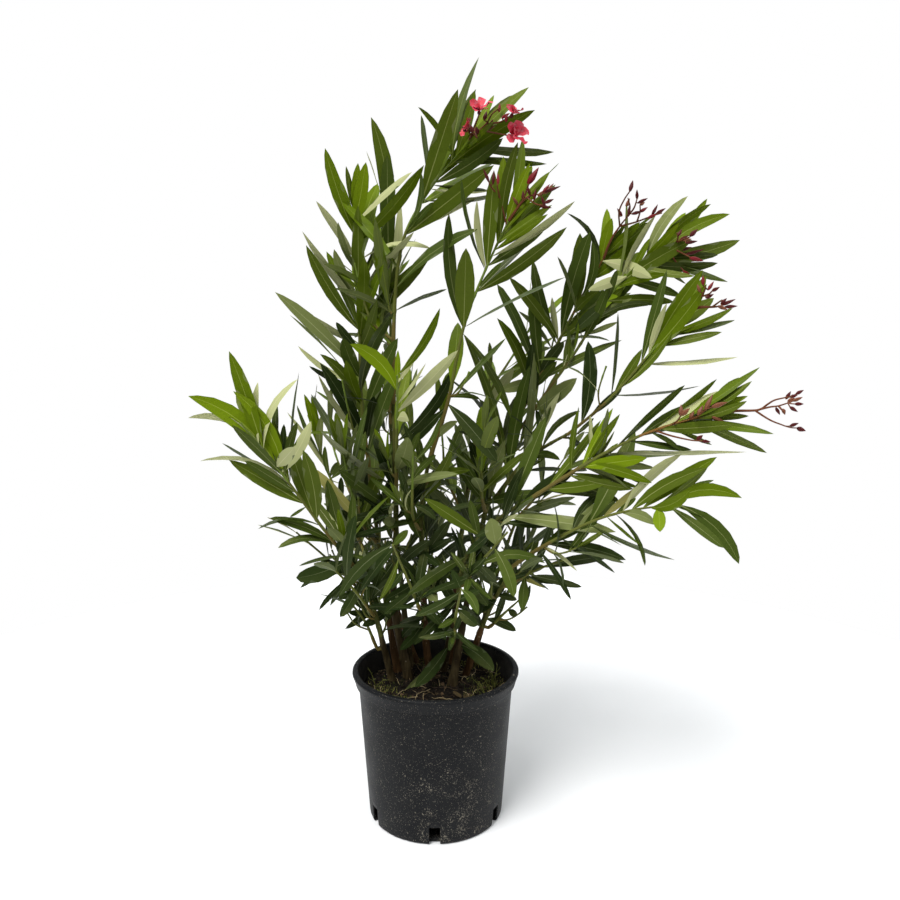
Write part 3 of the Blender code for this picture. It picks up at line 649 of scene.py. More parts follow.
# The leaves in full view on each stem or cane, as rows of a SeenLeaf's values.
SEEN_LEAVES = {
    "foliage_top": (
        (404, 234, 494, 165, 17, 0, 30, 2), (404, 234, 421, 172, 5, -6, 20, 3), (405, 232, 433, 202, 6, 0, 20, 3),
        (408, 232, 478, 197, 6, 0, -20, 6), (420, 204, 458, 89, 17, 0, 20, 2), (448, 160, 479, 57, 9, 5, -20, 2),
        (437, 184, 476, 89, 11, 2, -30, 1), (462, 140, 494, 95, 7, 0, -30, 0), (452, 158, 529, 87, 9, 2, 30, 1),
        (446, 170, 535, 110, 13, 3, 10, 1), (437, 184, 503, 138, 12, -3, 25, 3),
        (470, 150, 554, 152, 8, -2, -20, 2), (480, 190, 499, 161, 7, 1, 15, 3), (450, 198, 487, 190, 4, 0, 20, 3),
        (462, 160, 547, 164, 7, -1, 10, 1), (450, 158, 418, 107, 6, -5, -30, 1),
        (430, 190, 421, 115, 4, -1, -40, 3), (432, 190, 498, 189, 4, -2, -20, 6),
        (424, 200, 506, 193, 5, -4, -40, 7), (458, 150, 494, 121, 6, 0, 45, 1), (394, 288, 478, 229, 9, 7, 70, 3),
        (393, 312, 447, 289, 3, 2, 50, 3),
    ),
    "foliage_left_upper": (
        (357, 236, 325, 148, 12, 2, 10, 1), (366, 228, 366, 162, 13, 0, 10, 0), (359, 210, 358, 163, 9, 0, 12, 0),
        (355, 200, 346, 166, 6, 0, 10, 2), (365, 242, 424, 165, 12, -4, 15, 0), (367, 224, 412, 172, 5, 2, 45, 6),
        (360, 300, 358, 205, 11, 0, 35, 2), (358, 262, 316, 201, 8, -1, 20, 6), (357, 272, 338, 222, 6, 3, 40, 7),
        (358, 304, 302, 231, 8, 3, 15, 6), (359, 330, 306, 245, 12, 3, 20, 2), (355, 298, 334, 249, 10, 3, 5, 7),
        (362, 290, 384, 236, 6, 1, 15, 7), (361, 328, 431, 254, 14, 1, 80, 2), (361, 302, 414, 232, 9, 2, 85, 6),
        (364, 264, 432, 249, 4, 12, 45, 6), (352, 346, 287, 306, 7, 0, 10, 6), (364, 338, 364, 256, 14, -2, 70, 1),
        (352, 352, 336, 322, 8, 1, 10, 4), (360, 372, 275, 292, 13, -2, 30, 7), (362, 385, 298, 346, 5, 5, 20, 6),
        (368, 405, 320, 354, 9, -5, 45, 2), (366, 442, 320, 363, 14, -2, 60, 4), (364, 440, 318, 374, 7, 4, 35, 6),
        (366, 378, 343, 338, 14, 2, 20, 3), (370, 425, 379, 372, 12, -2, 30, 3), (368, 442, 374, 396, 11, 0, 45, 4),
        (364, 405, 346, 360, 12, 2, 30, 1), (366, 436, 384, 402, 10, 0, 20, 4), (362, 392, 309, 366, 6, 2, 0, 4),
        (360, 350, 377, 300, 10, -2, 70, 2), (364, 392, 394, 312, 11, 7, 90, 3), (368, 420, 398, 338, 12, 2, 90, 3),
        (362, 322, 384, 264, 10, 0, 85, 1), (369, 455, 397, 372, 11, 2, 85, 3),
    ),
    "foliage_back_left_upper": (
        (398, 230, 371, 117, 15, -7, 10, 2), (391, 275, 387, 155, 15, 0, 15, 3), (390, 290, 400, 200, 9, -2, 20, 6),
    ),
    "foliage_middle_upper": (
        (461, 328, 449, 213, 13, 6, 10, 3), (463, 328, 466, 248, 19, 0, 40, 2), (466, 262, 461, 178, 3, 4, 0, 3),
        (480, 288, 502, 262, 5, 0, 20, 3), (476, 292, 567, 227, 13, -3, 20, 2), (484, 266, 494, 170, 14, 0, 15, 2),
        (484, 268, 477, 200, 7, 3, 20, 6), (500, 238, 518, 142, 10, 4, 10, 2), (505, 228, 530, 163, 10, 1, 5, 0),
        (506, 236, 550, 172, 7, 0, 10, 1), (502, 244, 552, 205, 8, 0, 25, 1), (498, 252, 548, 214, 7, 0, 35, 0),
        (488, 266, 545, 228, 11, 0, -10, 3), (496, 258, 575, 201, 7, -4, 20, 6), (524, 206, 549, 172, 5, 0, 10, 1),
        (464, 328, 566, 277, 3, 2, 30, 3), (448, 404, 497, 462, 15, 2, 30, 4), (436, 440, 458, 421, 8, 3, 20, 7),
        (450, 400, 506, 338, 5, 0, 20, 3), (463, 333, 511, 418, 7, 6, -20, 2), (448, 398, 480, 399, 5, 3, 20, 3),
        (447, 408, 405, 448, 11, 0, -10, 4),
    ),
    "foliage_right_upper": (
        (558, 335, 590, 232, 15, 3, 20, 3), (600, 262, 612, 218, 11, 1, 10, 0), (600, 260, 652, 278, 12, 2, 90, 6),
        (597, 265, 567, 213, 5, -9, 15, 3), (596, 272, 652, 222, 16, 2, -15, 1),
        (592, 280, 640, 237, 12, -2, 20, 1), (566, 330, 640, 272, 15, -3, 20, 3),
        (560, 337, 624, 287, 15, -2, 35, 2), (562, 338, 616, 305, 12, -2, 15, 3),
        (578, 325, 632, 298, 8, -4, 60, 7), (566, 330, 604, 289, 12, -4, 25, 3), (538, 382, 622, 340, 9, 2, 30, 2),
        (556, 345, 610, 341, 3, 6, 20, 3), (558, 340, 509, 277, 11, -2, 20, 2), (556, 345, 533, 260, 10, 4, 0, 3),
        (530, 395, 497, 318, 10, -6, 10, 2), (522, 425, 537, 375, 14, 2, 25, 4), (528, 374, 499, 391, 11, 0, 20, 7),
        (604, 256, 640, 222, 9, 0, 5, 1), (601, 258, 627, 222, 5, 1, 0, 2), (585, 338, 620, 309, 6, -2, 10, 3),
        (565, 304, 580, 233, 15, -1, 0, 2), (574, 314, 600, 290, 11, 2, 20, 2), (580, 300, 592, 241, 9, -7, 15, 3),
        (541, 378, 564, 342, 11, 2, 20, 4), (532, 395, 538, 372, 7, 0, 10, 4), (534, 376, 497, 284, 9, -3, 20, 3),
        (540, 374, 534, 282, 12, 2, 10, 3), (538, 392, 557, 361, 8, 0, 15, 3), (553, 340, 552, 297, 6, 1, 5, 6),
        (527, 400, 533, 342, 9, 0, 20, 4),
    ),
    "foliage_right_top": (
        (646, 260, 688, 196, 10, 6, 0, 7), (650, 256, 711, 204, 10, 5, 10, 1), (654, 252, 730, 214, 11, 6, 15, 1),
        (634, 266, 680, 222, 8, -1, 10, 0), (622, 280, 692, 240, 15, 2, 15, 2),
        (646, 260, 740, 240, 13, -4, -10, 2), (632, 272, 650, 238, 6, 0, 0, 1), (650, 260, 718, 255, 9, 0, 0, 3),
        (642, 262, 718, 263, 9, -4, 20, 3), (660, 276, 686, 284, 4, 0, 0, 2), (650, 258, 728, 282, 5, 0, 10, 1),
        (618, 284, 656, 215, 5, 3, -10, 6), (628, 276, 588, 290, 10, 0, 30, 6), (590, 290, 617, 270, 6, 0, 30, 3),
        (622, 280, 680, 296, 9, 2, 10, 3), (606, 300, 674, 302, 11, 2, -10, 2), (618, 288, 667, 274, 8, 2, 20, 1),
        (640, 268, 695, 276, 7, -2, 30, 2), (590, 318, 652, 304, 6, 6, 20, 3), (588, 336, 618, 322, 5, 0, 10, 7),
        (574, 336, 608, 287, 10, -2, 20, 3), (535, 412, 577, 378, 15, -1, 40, 7),
        (606, 300, 575, 330, 12, 0, 10, 4),
    ),
    "foliage_right_outer": (
        (640, 362, 667, 270, 10, 0, -10, 3), (648, 352, 703, 270, 14, 2, -5, 1),
        (645, 357, 707, 284, 14, -2, 25, 1), (614, 395, 642, 349, 9, -1, 10, 2),
        (672, 330, 714, 298, 13, 0, -15, 2), (668, 336, 733, 308, 8, -3, 0, 0), (660, 350, 722, 332, 8, 0, 10, 2),
        (668, 339, 735, 320, 6, -1, -20, 2), (642, 364, 738, 357, 5, -2, 0, 6), (613, 396, 700, 386, 3, -2, 10, 3),
        (612, 396, 618, 312, 4, -1, 0, 3), (620, 388, 672, 332, 9, -3, 20, 2), (647, 354, 667, 303, 7, 1, 15, 6),
        (583, 426, 588, 341, 14, -5, 10, 4), (590, 416, 622, 388, 7, 0, 0, 4),
    ),
    "foliage_far_right": (
        (672, 426, 760, 367, 8, -2, -10, 1), (690, 420, 752, 381, 7, -2, 0, 2), (650, 436, 717, 379, 6, -2, -15, 1),
        (655, 432, 722, 390, 10, 2, -20, 6), (640, 438, 695, 405, 11, 2, -10, 3), (694, 420, 748, 396, 8, 1, 0, 0),
        (696, 420, 747, 401, 8, -2, 15, 2), (676, 424, 774, 434, 9, 3, 10, 1), (660, 430, 737, 424, 12, -1, 25, 2),
        (690, 422, 767, 453, 8, 1, 25, 2), (616, 446, 685, 385, 6, 1, 10, 3), (583, 468, 613, 408, 8, 0, 5, 0),
        (588, 466, 620, 414, 7, 1, 20, 1), (548, 490, 601, 420, 9, -2, -10, 2), (572, 474, 579, 408, 6, 2, 0, 2),
        (585, 472, 647, 458, 13, 0, 30, 0), (592, 470, 655, 468, 9, 1, 10, 7), (590, 470, 652, 483, 10, 2, 35, 1),
        (548, 492, 611, 480, 12, -2, 25, 2), (546, 494, 604, 496, 8, 2, 10, 4), (572, 476, 638, 487, 8, 0, -15, 1),
        (606, 456, 747, 452, 5, -1, 0, 6), (560, 486, 620, 502, 9, 3, 0, 3), (650, 434, 680, 450, 5, 2, 0, 3),
        (632, 446, 692, 450, 7, 0, 0, 3), (672, 436, 712, 445, 4, 0, 0, 2), (606, 474, 646, 485, 6, 0, 20, 3),
        (572, 482, 634, 489, 9, -2, 25, 2), (700, 418, 749, 416, 7, 0, 0, 2),
    ),
    "bough_right": (
        (507, 480, 530, 365, 13, 3, 20, 3), (523, 464, 534, 352, 9, -2, 10, 7), (507, 480, 463, 333, 8, -8, -20, 2),
        (530, 455, 560, 392, 8, 2, 35, 6), (541, 446, 580, 411, 6, 7, 10, 3), (524, 462, 560, 460, 8, 7, 10, 3),
    ),
    "cane_right": (
        (497, 450, 448, 378, 4, -10, 30, 4), (486, 500, 505, 440, 12, 2, 40, 7),
        (483, 505, 470, 440, 11, -2, 50, 4), (484, 503, 455, 455, 9, 3, 30, 3), (478, 540, 456, 487, 10, 0, 40, 4),
        (470, 576, 496, 530, 11, 2, 50, 4), (468, 585, 479, 616, 12, 3, 60, 4), (466, 600, 415, 615, 10, -3, 60, 4),
        (462, 622, 497, 600, 9, 2, 50, 4), (457, 644, 494, 671, 14, 3, 50, 4), (460, 640, 440, 624, 7, 0, 50, 4),
        (463, 610, 440, 580, 10, 2, 50, 4),
    ),
    "cane_far_right": (
        (482, 537, 424, 498, 12, 0, 30, 2), (500, 514, 616, 532, 13, 2, 45, 7), (506, 512, 546, 417, 14, 0, -10, 3),
        (520, 502, 576, 470, 14, 2, 5, 4), (510, 508, 622, 546, 4, 8, 0, 2), (500, 514, 524, 466, 9, 2, 20, 4),
        (480, 540, 470, 500, 9, 0, 20, 3), (466, 556, 407, 595, 11, -2, 90, 3), (455, 600, 414, 645, 9, 0, 60, 4),
        (446, 645, 415, 687, 12, 2, 60, 4), (452, 610, 430, 640, 9, 2, 50, 4), (462, 577, 488, 606, 11, 2, 50, 4),
    ),
    "cane_middle": (
        (424, 600, 455, 560, 11, 2, 50, 4), (423, 590, 392, 555, 11, -2, 50, 4), (424, 620, 400, 650, 9, 2, 50, 4),
        (426, 668, 400, 698, 6, 0, 45, 7), (425, 560, 450, 520, 11, 0, 50, 4), (426, 540, 405, 490, 12, 2, 50, 3),
        (430, 500, 452, 450, 11, -2, 50, 2), (428, 505, 410, 450, 10, 0, 40, 7), (424, 610, 446, 640, 9, 0, 50, 4),
        (424, 575, 385, 600, 10, 2, 60, 4), (432, 480, 470, 470, 9, 2, 50, 2), (424, 586, 438, 601, 12, 0, 60, 7),
        (430, 556, 452, 538, 8, 0, 50, 4), (424, 470, 418, 436, 8, 2, 30, 3),
    ),
    "cane_tall": (
        (394, 600, 362, 626, 9, 3, 40, 4), (394, 610, 420, 590, 9, 2, 50, 4), (395, 570, 430, 540, 10, 2, 50, 4),
        (395, 545, 440, 566, 9, 3, 50, 4), (394, 560, 362, 600, 9, 2, 50, 4), (400, 519, 384, 524, 10, 0, 85, 7),
        (394, 512, 339, 470, 10, 1, 60, 3), (393, 488, 320, 430, 6, 3, 60, 7), (396, 520, 425, 480, 10, -2, 40, 4),
        (396, 490, 375, 440, 10, 0, 40, 4), (397, 640, 420, 622, 9, 2, 40, 4), (396, 625, 424, 617, 8, 0, 40, 4),
        (396, 505, 345, 520, 8, 2, 40, 4),
    ),
    "cane_left": (
        (376, 500, 311, 394, 8, -2, 50, 3), (385, 590, 345, 629, 8, 3, 30, 4), (384, 585, 350, 560, 9, 2, 30, 4),
        (378, 545, 330, 606, 9, -3, 40, 4), (378, 540, 342, 510, 10, 2, 40, 4), (376, 520, 350, 470, 10, 0, 30, 4),
        (375, 515, 395, 470, 10, -2, 50, 4), (388, 612, 348, 612, 8, 2, 40, 4),
    ),
    "cane_low_right": (
        (484, 618, 516, 631, 9, 2, 0, 4), (494, 594, 517, 600, 7, 1, 10, 4), (491, 600, 506, 575, 9, 0, 20, 4),
        (498, 585, 470, 560, 10, 2, 40, 4), (482, 628, 462, 606, 9, 0, 40, 4), (508, 570, 480, 545, 10, 0, 40, 4),
    ),
    "cane_low_left": (
        (375, 610, 350, 592, 9, 2, 20, 4), (372, 600, 400, 575, 9, 2, 30, 4), (366, 590, 338, 598, 7, 0, 20, 4),
        (360, 580, 340, 617, 11, 2, 20, 4), (356, 575, 319, 610, 5, -3, 20, 4), (360, 572, 392, 540, 10, -2, 40, 4),
        (360, 575, 320, 560, 9, 0, 20, 4), (356, 568, 340, 530, 9, 0, 30, 4),
    ),
    "foliage_low_right": (
        (630, 508, 706, 468, 13, 5, 20, 2), (642, 507, 717, 457, 13, 2, -10, 1), (655, 504, 708, 467, 6, -2, 0, 2),
        (622, 512, 682, 454, 9, 6, -20, 6), (650, 507, 690, 490, 12, -5, 40, 1), (658, 507, 660, 532, 12, 0, 30, 0),
        (614, 514, 636, 498, 5, 0, 0, 3), (622, 511, 656, 525, 10, 4, 30, 7), (664, 504, 742, 498, 13, 12, 0, 1),
        (660, 503, 714, 480, 6, 3, -15, 3), (672, 507, 706, 517, 3, 1, 10, 3), (680, 500, 739, 564, 14, 9, 15, 3),
        (668, 507, 724, 548, 9, 1, 35, 3), (616, 514, 645, 566, 4, 7, 10, 3), (590, 528, 675, 560, 5, -3, 20, 3),
        (548, 546, 626, 560, 12, 4, 20, 4), (570, 534, 602, 500, 9, 0, -10, 7), (572, 530, 600, 493, 9, 4, -20, 4),
        (602, 517, 640, 486, 7, 0, -20, 5), (545, 549, 577, 571, 4, 2, 10, 6), (540, 552, 571, 600, 6, 2, 10, 4),
        (560, 540, 615, 573, 5, 2, 20, 4), (606, 516, 640, 545, 3, 0, 30, 1),
    ),
    "foliage_low_left": (
        (276, 466, 188, 396, 18, -12, 10, 0), (284, 474, 233, 391, 13, -10, 15, 0),
        (262, 450, 229, 351, 14, -1, 0, 1), (262, 448, 188, 418, 5, -13, -10, 6),
        (296, 490, 200, 461, 4, -14, 20, 6), (281, 463, 295, 447, 13, 0, 75, 6),
        (296, 462, 311, 421, 12, -3, -10, 6), (296, 468, 297, 422, 8, 2, 10, 3),
        (317, 520, 303, 450, 15, -3, 60, 2), (306, 503, 229, 460, 14, 0, 15, 2), (298, 492, 245, 461, 9, 0, 25, 3),
        (292, 486, 222, 443, 3, 0, -20, 3), (286, 478, 232, 425, 9, -1, 25, 3), (260, 445, 258, 382, 7, 4, -20, 6),
        (262, 450, 298, 379, 7, 10, -20, 6), (292, 482, 299, 372, 3, 2, -30, 3), (276, 464, 276, 398, 7, 0, -30, 3),
        (282, 472, 284, 424, 7, 0, -5, 4), (336, 543, 270, 518, 9, -4, 15, 3), (322, 527, 258, 529, 3, -9, 10, 3),
        (308, 506, 290, 517, 3, 0, 10, 3), (292, 482, 274, 421, 10, 2, 0, 2), (338, 546, 278, 548, 7, -9, 20, 3),
        (347, 557, 337, 542, 9, 0, 40, 4), (345, 556, 299, 566, 4, -2, 10, 3), (348, 560, 296, 578, 17, 3, 20, 4),
        (350, 563, 300, 588, 6, -3, 0, 4),
    ),
    "foliage_left": (
        (318, 448, 304, 394, 8, -2, 10, 0), (320, 450, 311, 396, 6, -1, 0, 0), (322, 455, 323, 413, 7, 3, 10, 7),
        (328, 472, 287, 412, 5, -2, 0, 6), (324, 460, 297, 405, 4, 2, -10, 3), (330, 480, 353, 457, 7, 0, 20, 3),
        (347, 500, 341, 477, 6, 0, 10, 4), (332, 478, 325, 446, 5, 2, 10, 3), (331, 476, 338, 462, 6, 0, 10, 3),
    ),
    "foliage_centre": (
        (397, 392, 350, 344, 15, -8, 15, 0), (397, 354, 440, 308, 8, -5, -10, 1), (397, 390, 398, 350, 6, 0, 5, 0),
        (397, 405, 426, 363, 4, -1, 10, 6), (396, 412, 458, 350, 12, -1, 0, 6), (398, 384, 421, 345, 7, 0, -20, 6),
        (396, 420, 409, 421, 10, 4, 70, 6), (395, 470, 408, 437, 16, -2, 95, 7), (397, 486, 458, 474, 9, 2, 80, 7),
        (395, 442, 452, 372, 11, -7, -30, 4),
    ),
    "foliage_front_right": (
        (470, 573, 442, 588, 9, 2, 10, 4), (473, 566, 545, 563, 10, 11, -10, 3), (486, 555, 462, 577, 9, 2, -20, 4),
        (492, 546, 514, 597, 13, 3, 30, 3), (492, 542, 491, 518, 17, 0, 5, 7), (480, 565, 496, 582, 9, 0, -20, 4),
    ),
    "foliage_front": (
        (391, 543, 339, 597, 12, -6, 50, 4), (396, 560, 379, 601, 6, 2, 10, 2), (410, 592, 384, 614, 9, 0, 10, 4),
        (404, 570, 388, 590, 8, 0, 10, 4), (418, 606, 440, 625, 8, 2, 10, 4), (392, 546, 408, 530, 8, 0, 0, 3),
    ),
    "foliage_front_middle": (
        (454, 590, 415, 616, 9, 2, 20, 4), (461, 589, 478, 614, 9, 3, 54, 3), (457, 609, 477, 626, 11, 0, 20, 4),
        (456, 618, 438, 628, 6, 0, 20, 3), (457, 622, 449, 651, 6, 0, 20, 4), (461, 589, 452, 570, 7, 0, 0, 4),
        (459, 600, 480, 590, 7, 0, 0, 4),
    ),
    "foliage_middle_left": (
        (414, 500, 400, 470, 7, 2, 10, 4), (417, 462, 440, 418, 5, -5, 10, 3), (412, 480, 436, 455, 7, 2, 10, 3),
        (413, 470, 398, 448, 6, 0, 10, 3), (418, 525, 400, 500, 7, 2, 10, 4), (417, 520, 440, 500, 8, 2, 10, 4),
        (412, 455, 420, 432, 6, 2, 10, 3), (412, 455, 404, 425, 6, -2, 10, 4), (415, 505, 436, 520, 7, 3, 10, 4),
    ),
    "foliage_right_side": (
        (528, 574, 582, 587, 7, 0, 10, 4), (524, 578, 560, 583, 6, 0, 0, 4), (524, 576, 522, 610, 10, 0, 20, 3),
        (520, 578, 545, 588, 5, 2, 10, 5),
    ),
    "foliage_low_right_side": (
        (505, 606, 516, 617, 7, 1, 10, 4),
    ),
}


# The stalks of each shoot's flower head, as spots (across, down, across, down, ...) from foot to
# tip in the camera's picture. A foot moves to the nearest point of the shoot or of the stalks before.
SEEN_STALKS = {
    "foliage_top": (
        (462, 140, 474, 128, 480, 112), (474, 128, 477, 138, 473, 132), (466, 136, 486, 124, 492, 114, 500, 108),
        (486, 124, 500, 122, 510, 116), (480, 130, 500, 134, 512, 136), (470, 134, 468, 130, 470, 127),
    ),
    "foliage_middle_upper": (
        (508, 220, 522, 202, 530, 196, 540, 194), (505, 225, 500, 200, 494, 188), (522, 202, 526, 192, 529, 184),
        (528, 198, 536, 204, 543, 205), (500, 200, 498, 190, 497, 185), (498, 194, 492, 188, 489, 183),
    ),
    "foliage_right_upper": (
        (603, 258, 611, 240, 620, 226, 628, 216), (620, 226, 619, 212, 624, 200, 630, 191),
        (620, 227, 636, 222, 652, 216, 662, 213), (628, 216, 634, 208, 637, 199), (626, 218, 630, 208, 628, 198),
        (636, 222, 640, 212, 640, 205),
    ),
    "foliage_right_top": (
        (668, 248, 676, 243, 682, 240, 690, 237), (670, 247, 680, 252, 690, 257), (676, 243, 678, 238, 677, 233),
        (668, 250, 676, 262, 684, 271),
    ),
    "foliage_right_outer": (
        (694, 308, 704, 307, 713, 307, 722, 306), (697, 306, 702, 296, 706, 288), (713, 307, 719, 302, 722, 300),
        (702, 296, 709, 294, 712, 291),
    ),
    "foliage_far_right": (
        (716, 413, 735, 411, 758, 410, 768, 404, 775, 400, 788, 397), (758, 410, 770, 407, 778, 406, 788, 403),
        (756, 410, 770, 420, 785, 426), (655, 430, 672, 436, 690, 440, 700, 441), (778, 406, 782, 410, 785, 412),
        (690, 420, 698, 416, 706, 409), (672, 426, 678, 420, 681, 415),
    ),
}

# The buds of each head, as rows of root and tip (across, down, across, down), breadth and finish
# number. A short stalk joins a bud to the nearest point of the head's stalks.
SEEN_BUDS = {
    "foliage_top": (
        (499, 112, 500, 103, 3, 1), (506, 122, 507, 113, 3, 1), (490, 126, 493, 119, 3, 0),
        (473, 132, 469, 124, 4, 0), (478, 134, 476, 126, 4, 0), (484, 120, 487, 111, 4, 0),
        (488, 130, 495, 125, 3, 2), (466, 132, 462, 126, 3, 0), (502, 118, 510, 113, 3, 1),
    ),
    "foliage_middle_upper": (
        (489, 182, 483, 168, 3, 0), (493, 184, 494, 170, 3, 0), (498, 184, 498, 173, 3, 1),
        (528, 184, 539, 167, 6, 1), (523, 200, 523, 190, 3, 0), (534, 200, 536, 188, 3, 0),
        (545, 192, 561, 186, 3, 0), (546, 193, 554, 183, 3, 2), (543, 192, 550, 184, 3, 1),
        (545, 206, 541, 195, 3, 0), (545, 203, 554, 199, 3, 0), (540, 206, 552, 208, 3, 0),
        (530, 195, 527, 185, 3, 0), (538, 196, 546, 190, 3, 2), (518, 205, 512, 196, 3, 2),
    ),
    "foliage_right_upper": (
        (630, 191, 633, 180, 4, 0), (637, 199, 637, 189, 3, 0), (638, 203, 648, 198, 3, 0),
        (640, 205, 645, 202, 3, 2), (629, 214, 629, 206, 3, 0), (632, 214, 643, 211, 3, 0),
        (652, 215, 658, 204, 3, 0), (656, 214, 666, 208, 3, 0), (648, 218, 657, 214, 3, 1),
        (626, 206, 630, 198, 3, 2), (622, 216, 617, 208, 3, 0), (640, 212, 648, 207, 3, 1),
    ),
    "foliage_right_top": (
        (679, 241, 689, 235, 3, 0), (690, 236, 698, 229, 4, 0), (685, 255, 705, 249, 3, 0),
        (690, 258, 704, 261, 4, 1), (683, 271, 692, 277, 3, 1), (682, 240, 692, 239, 3, 2),
        (686, 243, 698, 241, 3, 0), (680, 250, 692, 247, 3, 0), (677, 246, 688, 250, 3, 2),
        (678, 236, 682, 229, 3, 0),
    ),
    "foliage_right_outer": (
        (703, 285, 703, 275, 3, 1), (708, 290, 714, 281, 3, 1), (712, 291, 720, 287, 3, 0),
        (721, 304, 727, 298, 3, 0), (722, 305, 736, 299, 3, 0), (725, 307, 738, 306, 3, 0),
        (718, 306, 728, 310, 3, 2), (706, 298, 714, 294, 3, 0), (700, 292, 697, 284, 3, 2),
    ),
    "foliage_far_right": (
        (681, 416, 681, 404, 4, 2), (682, 415, 690, 408, 4, 2), (705, 410, 713, 394, 4, 2),
        (712, 407, 728, 402, 4, 2), (712, 417, 725, 422, 4, 2), (796, 394, 804, 390, 3, 0),
        (790, 397, 798, 395, 3, 0), (795, 404, 804, 404, 3, 0), (790, 407, 798, 412, 3, 0),
        (788, 401, 795, 398, 3, 2), (783, 409, 785, 415, 3, 2), (790, 426, 799, 423, 3, 0),
        (797, 428, 806, 431, 4, 0), (697, 440, 703, 435, 4, 0), (702, 441, 711, 442, 3, 0),
        (786, 399, 791, 391, 3, 0), (793, 401, 803, 397, 3, 2), (776, 408, 780, 415, 3, 0),
        (690, 419, 694, 411, 4, 2), (698, 415, 703, 405, 4, 2),
    ),
}

# Open flowers: the shoot, the spot of its base, its petals' length in millimetres and the way it faces.
SEEN_BLOOMS = (
    ("foliage_top", (479, 114), 19, (0.0, -0.75, 0.65)), ("foliage_top", (472, 131), 14, (-0.8, -0.3, 0.5)),
    ("foliage_top", (511, 117), 14, (0.35, -0.5, 0.75)), ("foliage_top", (513, 138), 19, (0.35, -0.85, 0.35)),
)


# Spots of the camera's picture where the sky shows between the shoots, as rows of across, down and
# radius. No leaf of the rule reaches into one.
OPEN_SKY = (
    (344, 222, 8), (352, 156, 5), (398, 155, 5), (408, 125, 6), (410, 200, 6), (425, 232, 9), (420, 256, 7),
    (456, 220, 4), (470, 220, 5), (461, 245, 4), (425, 305, 7), (430, 318, 6), (392, 328, 5), (430, 345, 6),
    (408, 352, 6), (485, 318, 8), (493, 335, 6), (508, 350, 5), (550, 268, 7), (553, 290, 7), (510, 292, 5),
    (523, 325, 5), (467, 355, 6), (455, 382, 5), (484, 385, 5), (612, 200, 6), (580, 205, 6), (640, 290, 5),
    (732, 268, 6), (606, 365, 9), (600, 390, 7), (632, 352, 7), (646, 325, 6), (635, 318, 5), (585, 330, 5),
    (690, 375, 7), (626, 410, 6), (562, 405, 6), (560, 440, 9), (555, 455, 7), (531, 478, 8), (765, 400, 7),
    (304, 405, 5), (278, 508, 6), (292, 505, 7), (303, 513, 6), (315, 547, 9), (325, 555, 6), (300, 550, 6),
    (288, 568, 6), (338, 586, 6), (316, 458, 7), (331, 450, 6), (338, 455, 4), (341, 490, 4), (350, 635, 7),
    (372, 636, 8), (347, 610, 5), (512, 602, 7), (510, 617, 7), (538, 600, 8), (505, 635, 8), (480, 634, 5),
    (510, 537, 3), (408, 531, 6), (430, 425, 8), (447, 415, 7), (416, 443, 6), (440, 455, 5), (473, 410, 6),
    (463, 402, 5), (430, 390, 6), (700, 470, 8), (600, 600, 20), (250, 490, 10), (560, 330, 4), (660, 320, 8),
    (640, 480, 5), (322, 604, 7), (648, 372, 6), (640, 318, 7), (608, 352, 4), (565, 460, 6), (552, 430, 6),
    (304, 408, 5), (330, 551, 6), (314, 545, 6), (312, 448, 5), (446, 418, 6), (456, 384, 5), (472, 352, 5),
    (482, 350, 6), (509, 354, 6), (504, 412, 5), (576, 549, 7), (430, 428, 7), (325, 405, 4), (714, 235, 5),
    (712, 243, 4), (585, 268, 6), (582, 280, 4), (495, 245, 4), (512, 234, 4),
)


# ---------------------------------------------------------------- finishes


